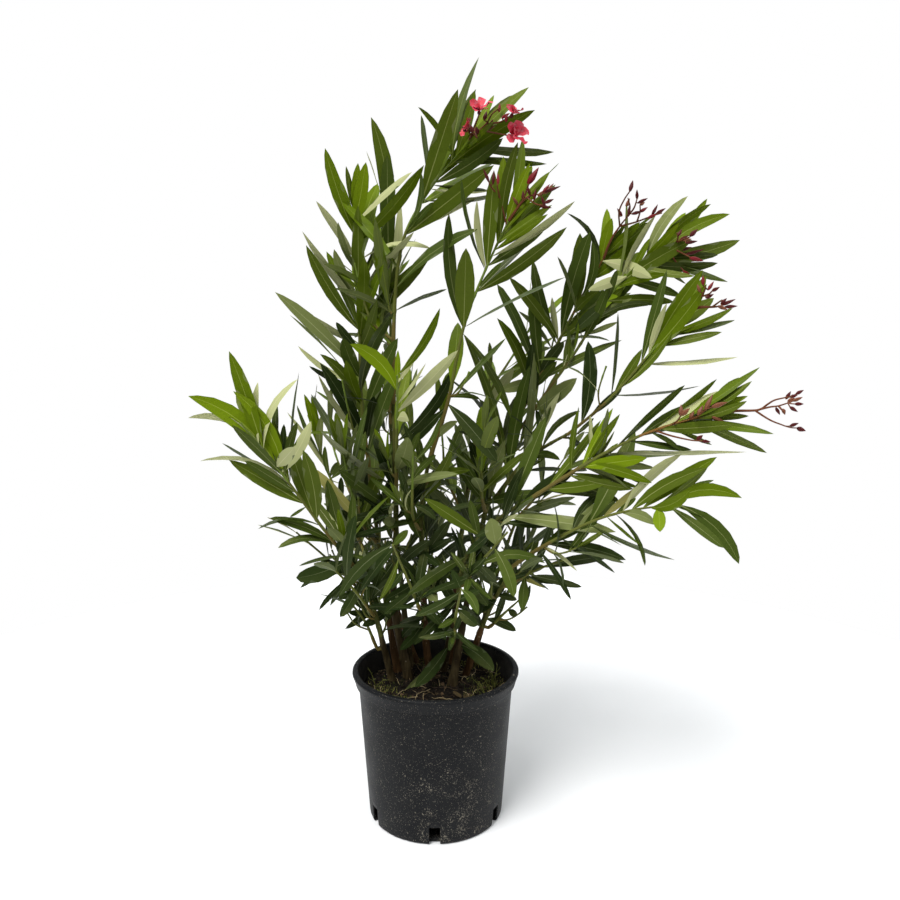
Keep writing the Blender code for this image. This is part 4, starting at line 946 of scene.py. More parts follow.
class Paint:
    """A new material with its shader, and short calls that add and link pattern nodes."""

    def __init__(self, name: str) -> None:
        """Starts the material and finds its Principled shader.

        Args:
            name: The material's name.
        """
        self.material = bpy.data.materials.new(name)
        self.material.use_nodes = True
        self.tree = self.material.node_tree
        self.shader = self.tree.nodes["Principled BSDF"]
        self.place = self.tree.nodes.new("ShaderNodeTexCoord").outputs["Object"]

    def shade(self, **values: float | tuple[float, ...]) -> None:
        """Sets plain values on the shader's own sockets, spaces written as underscores."""
        for name, value in values.items():
            self.shader.inputs[name.replace("_", " ")].default_value = value

    def add(self, kind: str, links: dict, **settings: object) -> bpy.types.Node:
        """One node.

        Args:
            kind: The node's type, without ShaderNode.
            links: For each input by name or number, a socket to link or a plain value.
            settings: The node's own properties.

        Returns:
            The new node.
        """
        node = self.tree.nodes.new("ShaderNode" + kind)
        for name, value in settings.items():
            setattr(node, name, value)
        for name, value in links.items():
            if isinstance(value, Socket):
                self.tree.links.new(value, node.inputs[name])
            else:
                node.inputs[name].default_value = value
        return node

    def stretched(self, scale: Place) -> Socket:
        """The place on the piece, with each axis scaled."""
        return self.add("Mapping", {"Vector": self.place, "Scale": scale}).outputs[0]

    def noise(self, size: float, detail: float = 3.0, place: object = None) -> Socket:
        """Soft noise from 0 to 1 whose spots are about this size."""
        where = self.place if place is None else place
        return self.add("TexNoise", {"Vector": where, "Scale": 1 / size, "Detail": detail}).outputs["Fac"]

    def band(self, value: Socket, low: float, high: float, least: float = 0.0,
             most: float = 1.0) -> Socket:
        """The value moved smoothly from the range low to high into the range least to most."""
        links = {"Value": value, "From Min": low, "From Max": high, "To Min": least, "To Max": most}
        return self.add("MapRange", links, interpolation_type="SMOOTHSTEP").outputs["Result"]

    def combine(self, operation: str, first: object, second: object) -> Socket:
        """What an operation makes of two values."""
        return self.add("Math", {0: first, 1: second}, operation=operation).outputs[0]

    def times(self, first: object, second: object) -> Socket:
        """The product of two values."""
        return self.combine("MULTIPLY", first, second)

    def mix(self, share: object, first: object, second: object) -> Socket:
        """A colour between two, each given as a socket or as plain numbers."""
        low, high = ((*colour, 1) if isinstance(colour, tuple) else colour for colour in (first, second))
        return self.add("Mix", {"Factor": share, 6: low, 7: high}, data_type="RGBA").outputs[2]

    def wear(self, name: str, socket: Socket) -> None:
        """Links a pattern to one of the shader's inputs."""
        self.tree.links.new(socket, self.shader.inputs[name])

    def bump(self, height: Socket, distance: float) -> None:
        """Raises the surface by a pattern times a distance in metres."""
        self.wear("Normal", self.add("Bump", {"Height": height, "Distance": distance}).outputs["Normal"])


@dataclass(frozen=True)
class PlantFinish:
    """A plain base colour with grain in its gloss and relief: leaf, stem, petal, bud or straw."""

    name: str
    colour: Colour
    roughness: float = 0.5
    specular: float = 0.35
    grain: float = 0.004
    relief: float = 0.0002
    tint: Colour = (1.0, 1.0, 1.0)  # of its gloss
    uneven: float = 0.07  # how far the grain moves the roughness either way

    def material(self) -> bpy.types.Material:
        """The finish as a material.

        Returns:
            The material.
        """
        paint = Paint(self.name)
        paint.shade(Base_Color=(*self.colour, 1), Specular_IOR_Level=self.specular,
                    Specular_Tint=(*self.tint, 1))
        grain = paint.noise(self.grain)
        rough = paint.band(grain, 0.3, 0.7, self.roughness - self.uneven, self.roughness + self.uneven)
        paint.wear("Roughness", rough)
        paint.bump(grain, self.relief)
        return paint.material


def materials_of(*finishes: "PlantFinish | BarkFinish") -> list[bpy.types.Material]:
    """The materials of these finishes, in order."""
    return [finish.material() for finish in finishes]


@dataclass(frozen=True)
class LeafFinish:
    """The colours of leaves of one age, which for the oleander also carry painted shade and light: glossy upper
    side, matt pale underside, and midrib.
    """

    name: str
    upper: Colour
    under: Colour
    rib: Colour
    gloss: float = 0.42
    tint: Colour = (1.0, 0.98, 0.35)

    def materials(self) -> list[bpy.types.Material]:
        """Upper side, underside and midrib, in the order of a blade's finish numbers."""
        return materials_of(
            PlantFinish(f"leaf_{self.name}", self.upper, self.gloss, 0.24, 0.006, 0.0004, self.tint),
            PlantFinish(f"leaf_{self.name}_underside", self.under, 0.62, 0.15, 0.003),
            PlantFinish(f"leaf_{self.name}_midrib", self.rib, 0.5, 0.3, 0.003, 0.0001),
        )


def blade_materials(finishes: Sequence[LeafFinish]) -> list[bpy.types.Material]:
    """The materials of leaf finishes, three for each, in the order of the blades' finish numbers."""
    return [material for finish in finishes for material in finish.materials()]


# The undersides, and the young upper side, are brighter than the leaves' own colour: partly their real paleness,
# partly painted light shining through thin leaves.
LEAF_FINISHES = (
    LeafFinish("young", (0.150, 0.225, 0.004), (0.170, 0.230, 0.030), (0.300, 0.370, 0.040)),
    LeafFinish("fresh", (0.096, 0.148, 0.003), (0.150, 0.190, 0.040), (0.220, 0.270, 0.035)),
    LeafFinish("grown", (0.076, 0.112, 0.008), (0.140, 0.170, 0.050), (0.230, 0.260, 0.060)),
    LeafFinish("mature", (0.048, 0.076, 0.010), (0.110, 0.135, 0.048), (0.180, 0.205, 0.060)),
    # The old finish, given to low leaves deep in the shrub, is darker than their own green: partly age and partly
    # painted shade.
    LeafFinish("old", (0.017, 0.032, 0.007), (0.052, 0.070, 0.026), (0.110, 0.130, 0.050)),
    LeafFinish("faded", (0.330, 0.310, 0.090), (0.330, 0.310, 0.130), (0.400, 0.360, 0.120)),
    LeafFinish("pale", (0.085, 0.115, 0.022), (0.470, 0.490, 0.225), (0.560, 0.550, 0.280)),
    # This finish is a lighter grey green that paints the sky's sheen on glossy leaves; listed leaves of finish 7
    # wear it.
    LeafFinish("greyed", (0.165, 0.195, 0.062), (0.220, 0.245, 0.100), (0.290, 0.310, 0.130)),
)
MATURE, OLD_AND_SHADED, FADED, PALE = 3, 4, 5, 6  # numbers of finishes; a pale leaf shows its underside


@dataclass(frozen=True)
class BarkFinish:
    """Smooth bark: two browns in streaks along the cane, pale pores and fine fissures."""

    name: str
    dark: Colour
    light: Colour
    pore: Colour = (0.26, 0.21, 0.14)
    dulled: float = 0.55  # how dark the patches are against the dark colour

    def material(self) -> bpy.types.Material:
        """The finish as a material.

        Returns:
            The material.
        """
        paint = Paint(self.name)
        streaks = paint.noise(0.006, 4.0, paint.stretched((1.0, 1.0, 0.16)))
        patches = paint.noise(0.035, 2.0)
        colour = paint.mix(paint.band(streaks, 0.38, 0.64), self.dark, self.light)
        dull = tuple(self.dulled * c for c in self.dark)
        colour = paint.mix(paint.band(patches, 0.35, 0.75, 0.0, 0.6), colour, dull)
        pores = paint.add("TexVoronoi", {"Vector": paint.stretched((1, 1, 0.7)), "Scale": 190.0})
        spots = paint.band(pores.outputs["Distance"], 0.10, 0.24, 1.0, 0.0)
        spots = paint.times(spots, paint.band(paint.noise(0.012, 1.0), 0.50, 0.62))
        paint.wear("Base Color", paint.mix(spots, colour, self.pore))
        paint.shade(Specular_IOR_Level=0.12)
        paint.wear("Roughness", paint.band(streaks, 0.3, 0.7, 0.62, 0.86))
        paint.bump(paint.combine("ADD", streaks, spots), 0.0006)
        return paint.material


@dataclass(frozen=True)
class PotPlastic:
    """Dark grey moulded plastic, scuffed and dusty, with dried splashes low on the front."""

    name: str = "pot_charcoal_plastic"
    dark: Colour = (0.0050, 0.0054, 0.0064)
    dusty: Colour = (0.0098, 0.0103, 0.0112)
    film: Colour = (0.019, 0.019, 0.018)
    speck: Colour = (0.21, 0.19, 0.15)
    dust: Colour = (0.026, 0.024, 0.021)  # on the inside, above the compost
    taper: float = 0.0714  # of the wall, radius against height
    middle: float = 0.0962  # radius of the middle of the wall's thickness at the floor
    lift: float = 0.066  # how much more of the noise counts as a splash where they are thickest
    spots: tuple[tuple[float, Place, float, float], ...] = (  # size, stretch, level of noise, detail
        (0.0013, (1, 1, 1), 0.640, 2.0), (0.0020, (1, 1, 0.45), 0.665, 3.0),
        (0.0030, (0.45, 0.45, 1.3), 0.690, 3.0), (0.0044, (1, 1, 0.7), 0.735, 4.0),
    )

    def material(self) -> bpy.types.Material:
        """The finish as a material.

        Returns:
            The material.
        """
        paint = Paint(self.name)
        cloud = paint.noise(0.05, 5.0)
        film = paint.noise(0.013, 4.0, paint.stretched((1.0, 1.0, 0.6)))
        colour = paint.mix(paint.band(cloud, 0.36, 0.72, 0.0, 0.8), self.dark, self.dusty)
        colour = paint.mix(paint.band(film, 0.48, 0.80, 0.0, 0.35), colour, self.film)
        splash = self.splashes(paint)
        colour = paint.mix(splash, colour, self.speck)
        paint.wear("Base Color", paint.mix(self.inside(paint), colour, self.dust))
        paint.shade(Specular_IOR_Level=0.13)
        rough = paint.band(cloud, 0.3, 0.7, 0.40, 0.54)
        paint.wear("Roughness", paint.combine("ADD", rough, paint.times(splash, 0.35)))
        fine = paint.noise(0.0016, 2.0)
        paint.bump(paint.combine("ADD", paint.times(fine, 0.25), splash), 0.00035)
        return paint.material

    def inside(self, paint: Paint) -> Socket:
        """Where the wall's inner side shows above the compost, by distance from the axis.

        Args:
            paint: The material being painted.

        Returns:
            1 there and 0 elsewhere, with soft dusty patches.
        """
        flat = paint.add("VectorMath", {0: paint.place, 1: (1, 1, 0)}, operation="MULTIPLY").outputs[0]
        away = paint.add("VectorMath", {0: flat}, operation="LENGTH").outputs["Value"]
        height = paint.add("SeparateXYZ", {"Vector": paint.place}).outputs["Z"]
        taper = paint.times(height, self.taper)
        beyond = paint.combine("SUBTRACT", away, taper)
        shown = paint.times(paint.band(beyond, self.middle + 0.0005, self.middle - 0.0002),
                            paint.band(height, 0.170, 0.182))
        return paint.times(shown, paint.band(paint.noise(0.010, 4.0), 0.30, 0.62, 0.35, 1.0))

    def splashes(self, paint: Paint) -> Socket:
        """Small dried splashes and scratches, thickest low on the front and right.

        Args:
            paint: The material being painted.

        Returns:
            Their share, from 0 to 1.
        """
        total = None
        apart = paint.add("SeparateXYZ", {"Vector": paint.place}).outputs
        low = paint.band(apart["Z"], 0.165, 0.055)
        side = paint.times(paint.band(apart["X"], -0.060, 0.000), paint.band(apart["X"], 0.100, 0.055))
        front = paint.band(apart["Y"], 0.0, -0.05)
        spread = paint.times(paint.times(low, side), paint.band(paint.noise(0.024, 3.0), 0.40, 0.62))
        spread = paint.times(spread, front)
        for size, stretch, level, detail in self.spots:
            spots = paint.noise(size, detail, paint.stretched(stretch))
            reached = paint.combine("ADD", spots, paint.times(spread, self.lift))
            found = paint.band(reached, level + 0.020, level + 0.055)
            total = found if total is None else paint.combine("MAXIMUM", total, found)
        return total


@dataclass(frozen=True)
class CompostFinish:
    """Damp dark compost: crumbs of black, brown and tan with a rough relief."""

    name: str = "compost_crumbs"
    black: Colour = (0.0038, 0.0027, 0.0019)
    brown: Colour = (0.0110, 0.0078, 0.0050)
    tan: Colour = (0.048, 0.031, 0.017)
    moss: Colour = (0.030, 0.032, 0.010)

    def material(self) -> bpy.types.Material:
        """The finish as a material.

        Returns:
            The material.
        """
        paint = Paint(self.name)
        clods, crumbs = paint.noise(0.012, 6.0), paint.noise(0.0028, 4.0)
        colour = paint.mix(paint.band(clods, 0.35, 0.65), self.black, self.brown)
        colour = paint.mix(paint.band(crumbs, 0.56, 0.72, 0.0, 0.8), colour, self.tan)
        mossy = paint.band(paint.noise(0.022, 2.0), 0.58, 0.72, 0.0, 0.55)
        paint.wear("Base Color", paint.mix(mossy, colour, self.moss))
        paint.shade(Specular_IOR_Level=0.15)
        paint.wear("Roughness", paint.band(crumbs, 0.3, 0.7, 0.78, 0.98))
        paint.bump(paint.combine("ADD", clods, crumbs), 0.0022)
        return paint.material


# ---------------------------------------------------------------- blades


@dataclass(frozen=True)
class Blade:
    """One leaf or petal: its root, the way it points, the way its upper side faces, its sizes."""

    root: Array
    aim: Array
    face: Array
    length: float
    width: float
    bend: Array  # how far its tip bends aside, against its length
    fold: float = 0.08  # angle that each half is raised by from flat
    twist: float = 0.0  # angle that it turns by from root to tip
    wave: float = 0.05  # ripple of its edges, against half its width
    phase: float = 0.0
    blunt: float = 0.0  # from 0, sharply pointed, to 1, blunt
    age: int = 0  # number of its finish
    owner: str = ""  # the stem it grows on


@dataclass(frozen=True)
class BladeForm:
    """The outline and the cross-section that one kind of blade shares."""

    stations: tuple[float, ...]  # shares of the length where a ring of points stands
    outline: tuple[tuple[float, float], ...]  # (share of length, share of half the width)
    blunt: tuple[tuple[float, float], ...]  # the same for a blunt blade
    rib: float  # half the midrib's breadth near its foot
    thickness: float

    def shape(self, blades: Sequence[Blade]) -> Shape:
        """All the blades as one shape.

        The midrib is the quadratic curve from the root by root + aim L / 2 to
        root + (aim + bend) L. Point (t, u) of the upper side stands off it by
        half(t) (u cos f S + |u| sin f N), with S across the blade, N up from it and f the
        fold, both turned round the midrib by the twist times t. The edges ripple by
        wave half(t) |u| sin(14 t + phase). The underside is the same less the thickness.

        Args:
            blades: The blades.

        Returns:
            The shape, its finish numbers 3 age + (0 upper, 1 under, 2 midrib).
        """
        def column(name: str) -> Array:
            """One value of every blade."""
            return np.array([getattr(blade, name) for blade in blades], float)

        root, aim, face, bend = (column(name) for name in ("root", "aim", "face", "bend"))
        length, width, fold, twist, wave, phase, blunt = (column(name)[:, None, None] for name in (
            "length", "width", "fold", "twist", "wave", "phase", "blunt"))
        t = np.array(self.stations)[None, :, None]
        end, turn = length * (aim + bend)[:, None], 0.5 * length * aim[:, None]
        midrib = root[:, None] + 2 * t * (1 - t) * turn + t**2 * end
        along = unit(2 * (1 - 2 * t) * turn + 2 * t * end)
        side = unit(np.cross(along, face[:, None]))
        upward = np.cross(side, along)
        angle = twist * (t - 0.25)
        side, upward = (np.cos(angle) * side + np.sin(angle) * upward,
                        np.cos(angle) * upward - np.sin(angle) * side)
        half = width / 2 * ((1 - blunt) * np.interp(t, *np.array(self.outline).T)
                            + blunt * np.interp(t, *np.array(self.blunt).T))
        rib = np.minimum(self.rib * (1.15 - t) * length / 0.12, 0.6 * half) / np.maximum(half, 1e-6)
        inner = 0.5 + 0.5 * rib
        one = np.ones_like(rib)
        across_by = np.concatenate([-one, -inner, -rib, rib, inner, one, 1.4 * rib, -1.4 * rib], 2)
        depth = np.array([0, 0, -0.2, -0.2, 0, 0, -1.0, -1.0]) * self.thickness
        ripple = wave * half * np.abs(across_by) * np.sin(
            14 * t + phase + 1.4 * (across_by > 0))
        out = (half * across_by * np.cos(fold))[..., None] * side[:, :, None]
        lift = half * np.abs(across_by) * np.sin(fold) + ripple + depth
        rings = midrib[:, :, None] + out + lift[..., None] * upward[:, :, None]
        made = skin(rings, root, root + end[:, 0], np.array((0, 0, 2, 0, 0, 1, 2, 1)))
        made.raise_slots(3 * np.array([blade.age for blade in blades]))
        return made

    def spine(self, blades: Sequence[Blade], shares: Sequence[float]) -> Array:
        """Places along the blades' midribs, on the curve root + aim L t + bend L t^2.

        Args:
            blades: The blades.
            shares: Shares t of their length L.

        Returns:
            The places, as (blades, shares, 3).
        """
        t = np.array(shares)[None, :, None]
        root = np.array([blade.root for blade in blades])[:, None]
        aim = np.array([blade.length * blade.aim for blade in blades])[:, None]
        aside = np.array([blade.length * blade.bend for blade in blades])[:, None]
        return root + t * aim + t**2 * aside


LEAF_FORM = BladeForm(
    (0.04, 0.15, 0.30, 0.47, 0.64, 0.80, 0.93),
    ((0, 0.10), (0.04, 0.16), (0.15, 0.48), (0.30, 0.84), (0.47, 1.0), (0.64, 0.97), (0.80, 0.76),
     (0.93, 0.36), (1, 0)),
    ((0, 0.08), (0.04, 0.13), (0.15, 0.42), (0.30, 0.78), (0.47, 0.97), (0.64, 1.0), (0.80, 0.88),
     (0.93, 0.56), (1, 0.1)),
    0.00062, 0.0006,
)
PETAL_FORM = BladeForm(
    (0.10, 0.30, 0.52, 0.74, 0.90, 0.97),
    ((0, 0.2), (0.10, 0.30), (0.30, 0.52), (0.52, 0.82), (0.74, 1.0), (0.90, 0.86), (0.97, 0.55),
     (1, 0.3)),
    ((0, 0.2), (1, 1)),
    0.0003, 0.0005,
)


# ---------------------------------------------------------------- growth


@dataclass
class Growth:
    """The seeded rule by which canes, stems and leaves grow, carried on to finer twigs."""

    cane_step: float = 0.045
    twig_step: float = 0.050
    fine_step: float = 0.020
    twig_tip: float = 0.0012
    shoot_foot: float = 0.9  # a shoot's foot against the limb it stands on
    side_foot: float = 0.75  # the same, further, where it stands on the limb's side
    stub: float = 0.006
    joint: float = 0.003  # how deep in its limb a stem on the limb's tip starts
    old_below: float = 0.38  # height of a shoot's tip up to which its leaves are old and dark, partly as painted shade low in the shrub
    young_over: float = 0.30  # further height over which they turn young and bright
    crowding: float = 1.3  # power by which the whorls crowd towards the tip
    last_whorl: float = 0.995  # share of the stem's length
    whorl: int = 3
    whorl_jitter: float = 0.25  # angle either way
    blade_jitter: float = 0.2
    wide_angle: float = math.radians(54)  # between stem and leaf at the lowest whorl
    narrow_angle: float = math.radians(15)  # the same at the tip
    blossom_angle: float = math.radians(24)  # the same at a tip in blossom
    angle_jitter: float = 0.16
    tip_size: float = 0.58  # a tip leaf's length against the longest
    blossom_tip_size: float = 0.70
    sizes: tuple[float, float] = (0.84, 1.08)
    leaf_ratio: float = 0.23  # a leaf's width against its length
    widths: tuple[float, float] = (0.9, 1.12)
    slimmer: float = 0.74  # a leaf's width against the solid leaf's
    light: float = 0.16  # how strongly leaves turn up
    tilt: float = 0.3  # how strongly their faces turn up, and either way aside
    arch: float = 0.12  # bend of the lowest leaves, against their length
    arches: tuple[float, float] = (-0.03, 0.05)
    sway: float = 0.05  # usual sideways bend of a leaf, against its length
    roll: float = 0.35  # usual turn of a leaf about its own length
    twist: float = 0.4  # usual turn of a leaf from root to tip
    folds: tuple[float, float] = (0.02, 0.14)
    waves: tuple[float, float] = (0.02, 0.07)
    seen_ratio: float = 0.155  # breadth of a listed leaf, against its length
    seen_broadest: float = 0.024
    far_side: float = 0.10  # how far back a leaf of the rule points on a stem with such leaves
    limbs: dict[str, Limb] = field(default_factory=dict)

    def line_from(self, limb: Limb, at: float, way: Sequence[Place], step: float) -> tuple[Array, Array]:
        """The line of a stem that stands 0.3 mm clear of a limb's tip (at 1) or side.

        Args:
            limb: The limb it stands on.
            at: Share of the limb's length.
            way: Points that it runs through.
            step: Length of one straight piece.

        Returns:
            The line, and the point on the limb's own line that it grows from.
        """
        centre, along = place_on(limb.line, at)
        if at == 1:
            return smooth_line([centre + along * CLEAR, *way], step), centre - self.joint * along
        outward = np.array(way[0]) - centre
        outward = unit(outward - along * (outward @ along))
        foot = centre + outward * (limb.radius_at(at) + CLEAR)
        rest = smooth_line([foot + outward * self.stub + along * self.stub / 2, *way], step)
        return np.concatenate([foot[None], rest]), centre

    def grow_limbs(self) -> None:
        """Every cane's line and radii, in the order they stand on each other."""
        for cane in CANES:
            if cane.parent:
                line, _ = self.line_from(self.limbs[cane.parent], cane.at, cane.way, self.cane_step)
            else:
                foot = (*cane.way[0][:2], SOIL_LEVEL + CLEAR)
                line = smooth_line([foot, *cane.way[1:]], self.cane_step)
            self.limbs[cane.name] = Limb(line, cane.foot_radius, cane.tip_radius)

    def shoots(self) -> Iterator[tuple[Mass, Twig]]:
        """Each mass with its stem, then with each of its side twigs."""
        for mass in MASSES:
            limb = self.limbs[mass.parent]
            foot = self.shoot_foot * limb.radius_at(mass.at) * (1 if mass.at == 1 else self.side_foot)
            line, joint = self.line_from(limb, mass.at, mass.way, self.twig_step)
            # A low shoot's leaves count as older and darker, which also paints the shade deep in the shrub.
            youth = min(1.0, max(0.0, (line[-1][2] - self.old_below) / self.young_over))
            yield mass, Twig(f"{mass.name} {mass.seed}", line, foot, mass.leaf, mass.whorls, mass.bare,
                             mass.blossom, mass.droop, joint, youth)
            for name, side in self.side_twigs(mass, line):
                yield mass, Twig(name, side, foot * 0.55, mass.leaf * 0.75, 3, 0.2, Blossom.NONE,
                                 mass.droop, side[0], youth)

    def side_twigs(self, mass: Mass, line: Array) -> Iterator[tuple[str, Array]]:
        """The twigs that branch from a mass's stem, each as (name, line)."""
        length = np.linalg.norm(np.diff(line, axis=0), axis=1).sum()
        for number in range(mass.side_twigs):
            name = f"{mass.name} {mass.seed} twig {number}"
            rule = random.Random(name)
            start, along = place_on(line, mass.bare + 0.10 + 0.42 * number + rule.uniform(0, 0.08))
            turn = rule.uniform(0, math.tau)
            yield name, self.branch_line(start, along, turn, min(0.12, 0.36 * length), self.twig_step)

    def branch_line(self, start: Array, along: Array, turn: float, reach: float, step: float) -> Array:
        """A short twig's line: outwards from its stem, then bending up along it.

        Args:
            start: Its foot.
            along: The way the stem runs there.
            turn: Angle round the stem.
            reach: How far it reaches.
            step: Length of one straight piece.

        Returns:
            The line's points.
        """
        first, second = across(along)
        outward = math.cos(turn) * first + math.sin(turn) * second
        bend = start + reach * 0.45 * (outward * 0.75 + along * 0.6)
        tip = start + reach * (outward * 0.55 + along * 0.75 + UP * 0.15)
        return smooth_line((start, bend, tip), step)

    def fine_twigs(self, parent: str, line: Array, count: int, span: tuple[float, float], leaf: float,
                   radius: float, youth: float) -> Iterator[Twig]:
        """Finer twigs along a limb or stem, by the side twigs' rule.

        Args:
            parent: Name of the limb or stem.
            line: Its line.
            count: How many twigs.
            span: The first and last share of its length that they stand on.
            leaf: Length of their longest leaves.
            radius: Their radius at the foot.
            youth: How young their leaves are, and how lit; a low value gives dark finishes that are partly painted
                shade.

        Yields:
            Each twig.
        """
        for number in range(count):
            name = f"{parent} fine {number}"
            rule = random.Random(name)
            share = span[0] + (span[1] - span[0]) * (number + rule.uniform(0.1, 0.9)) / count
            start, along = place_on(line, share)
            turn = rule.uniform(0, math.tau)
            reach = rule.uniform(0.020, 0.055)
            size = leaf * rule.uniform(0.75, 1.15)
            side = self.branch_line(start, along, turn, reach, self.fine_step)
            yield Twig(name, side, radius, size, rule.choice((2, 3)), 0.35, Blossom.NONE, 0.10, start, youth)

    def leaves_on(self, twig: Twig) -> Iterator[Blade]:
        """The leaves along a twig: whorls of three that crowd and close up towards its tip.

        Args:
            twig: The leafy stem.

        Yields:
            Each leaf, by the solids' rule; folds, twists and ages come from a second draw.
        """
        narrow, tip_size = self.narrow_angle, self.tip_size
        if twig.blossom is not Blossom.NONE:
            narrow, tip_size = self.blossom_angle, self.blossom_tip_size
        for whorl in range(twig.whorls):
            rule = random.Random(f"{twig.name} {whorl}")
            looks = random.Random(f"{twig.name} {whorl} looks")
            share = 1 - (1 - whorl / (twig.whorls - 1)) ** self.crowding
            centre, along = place_on(twig.line, twig.bare + (self.last_whorl - twig.bare) * share)
            first, second = across(along)
            turn = whorl * math.pi / self.whorl + rule.uniform(-self.whorl_jitter, self.whorl_jitter)
            for blade in range(self.whorl):
                size = twig.leaf * (1 - (1 - tip_size) * (max(0, share - 0.6) / 0.4) ** 1.2
                                    - 0.5 * max(0, 0.5 - share) ** 2)
                size *= rule.uniform(*self.sizes)
                angle = self.wide_angle + (narrow - self.wide_angle) * share**1.2
                angle += rule.uniform(-self.angle_jitter, self.angle_jitter)
                round_stem = turn + blade * math.tau / self.whorl
                round_stem += rule.uniform(-self.blade_jitter, self.blade_jitter)
                outward = math.cos(round_stem) * first + math.sin(round_stem) * second
                aim = math.cos(angle) * along + math.sin(angle) * outward
                face = math.sin(angle) * along - math.cos(angle) * outward
                aim = unit(aim + self.light * UP)
                face = face + self.tilt * UP + rule.uniform(-self.tilt, self.tilt) * np.cross(aim, face)
                face = unit(face - aim * (face @ aim))
                arch = 0.02 + (self.arch + twig.droop) * (1 - share) + twig.droop * 0.5
                arch += rule.uniform(*self.arches)
                width = size * self.leaf_ratio * rule.uniform(*self.widths) * self.slimmer
                root = centre + along * rule.uniform(-0.0015, 0.0015) - aim * 0.001
                bend = looks.gauss(0, self.sway) * np.cross(aim, face) - arch * face
                roll = looks.gauss(0, self.roll)
                face = math.cos(roll) * face + math.sin(roll) * np.cross(aim, face)
                yield Blade(root, aim, face, size, width, bend, looks.uniform(*self.folds),
                            looks.gauss(0, self.twist), looks.uniform(*self.waves),
                            looks.uniform(0, math.tau), looks.uniform(0, 1) * (1 - 0.7 * twig.youth),
                            self.age_of(share, twig.youth, looks), twig.name)

    def seen_leaves(self, name: str, line: Array, owner: str) -> Iterator[Blade]:
        """The leaves listed for a stem or limb.

        A leaf faces the camera, then turns about its own length until its breadth is what the
        picture shows. A pale one turns its underside to the camera.

        Args:
            name: The mass's or limb's name.
            line: The line its leaves stand on.
            owner: The stem's or limb's own name.

        Yields:
            Each leaf.
        """
        for leaf in (SeenLeaf(*row) for row in SEEN_LEAVES.get(name, ())):
            looks = random.Random(str(tuple(leaf)))
            breadth, bow, age = leaf.breadth, leaf.bow, leaf.age
            root = SIGHT.nearest(line, leaf.root_across, leaf.root_down)
            tip = SIGHT.spot(leaf.tip_across, leaf.tip_down, root[1] - leaf.nearer / 1000)
            chord = tip - root
            length = float(np.linalg.norm(chord))
            view = root - np.array(SIGHT.place)
            unit_size = float(np.linalg.norm(view)) / SIGHT.focal
            left = unit(np.cross(chord, view))
            back = unit(np.cross(left, chord))
            bend = -4 * bow * unit_size / length * left + looks.uniform(-0.02, 0.10) * back
            real = max(breadth * unit_size, min(self.seen_ratio * length, self.seen_broadest))
            roll = looks.choice((-1, 1)) * math.acos(min(1.0, breadth * unit_size / real))
            face = -math.cos(roll) * back + math.sin(roll) * left
            if age == PALE:
                face = -face
            yield Blade(root, chord / length - bend, face, length, real, bend, looks.uniform(0.03, 0.12),
                        looks.uniform(-0.3, 0.3), looks.uniform(0.02, 0.06), looks.uniform(0, math.tau),
                        looks.uniform(0.2, 1) * (age in (MATURE, OLD_AND_SHADED)), age, owner)

    def age_of(self, share: float, youth: float, looks: random.Random) -> int:
        """The finish of a leaf: young and bright at the tips of the outer shoots, old and dark low and deep in the
        shrub, where the dark finish is partly painted shade.

        Args:
            share: Place of its whorl, from 0 at the lowest to 1 at the tip.
            youth: How young the shoot is, and how high it stands; a low shoot's darker finish is partly painted
                shade.
            looks: Where the chance comes from.

        Returns:
            The number of a leaf finish.
        """
        # The second term darkens the leaves of low shoots: partly their age, partly painted shade.
        value = 1.5 * (1 - share) ** 0.8 + 3.3 * (1 - youth) + looks.gauss(0, 0.45)
        chance = looks.random()
        if chance < 0.03 + 0.08 * youth:
            return PALE
        if value > 2.2 and chance > 0.985:
            return FADED
        return int(np.clip(value + 0.4, 0, OLD_AND_SHADED))


# ---------------------------------------------------------------- pot


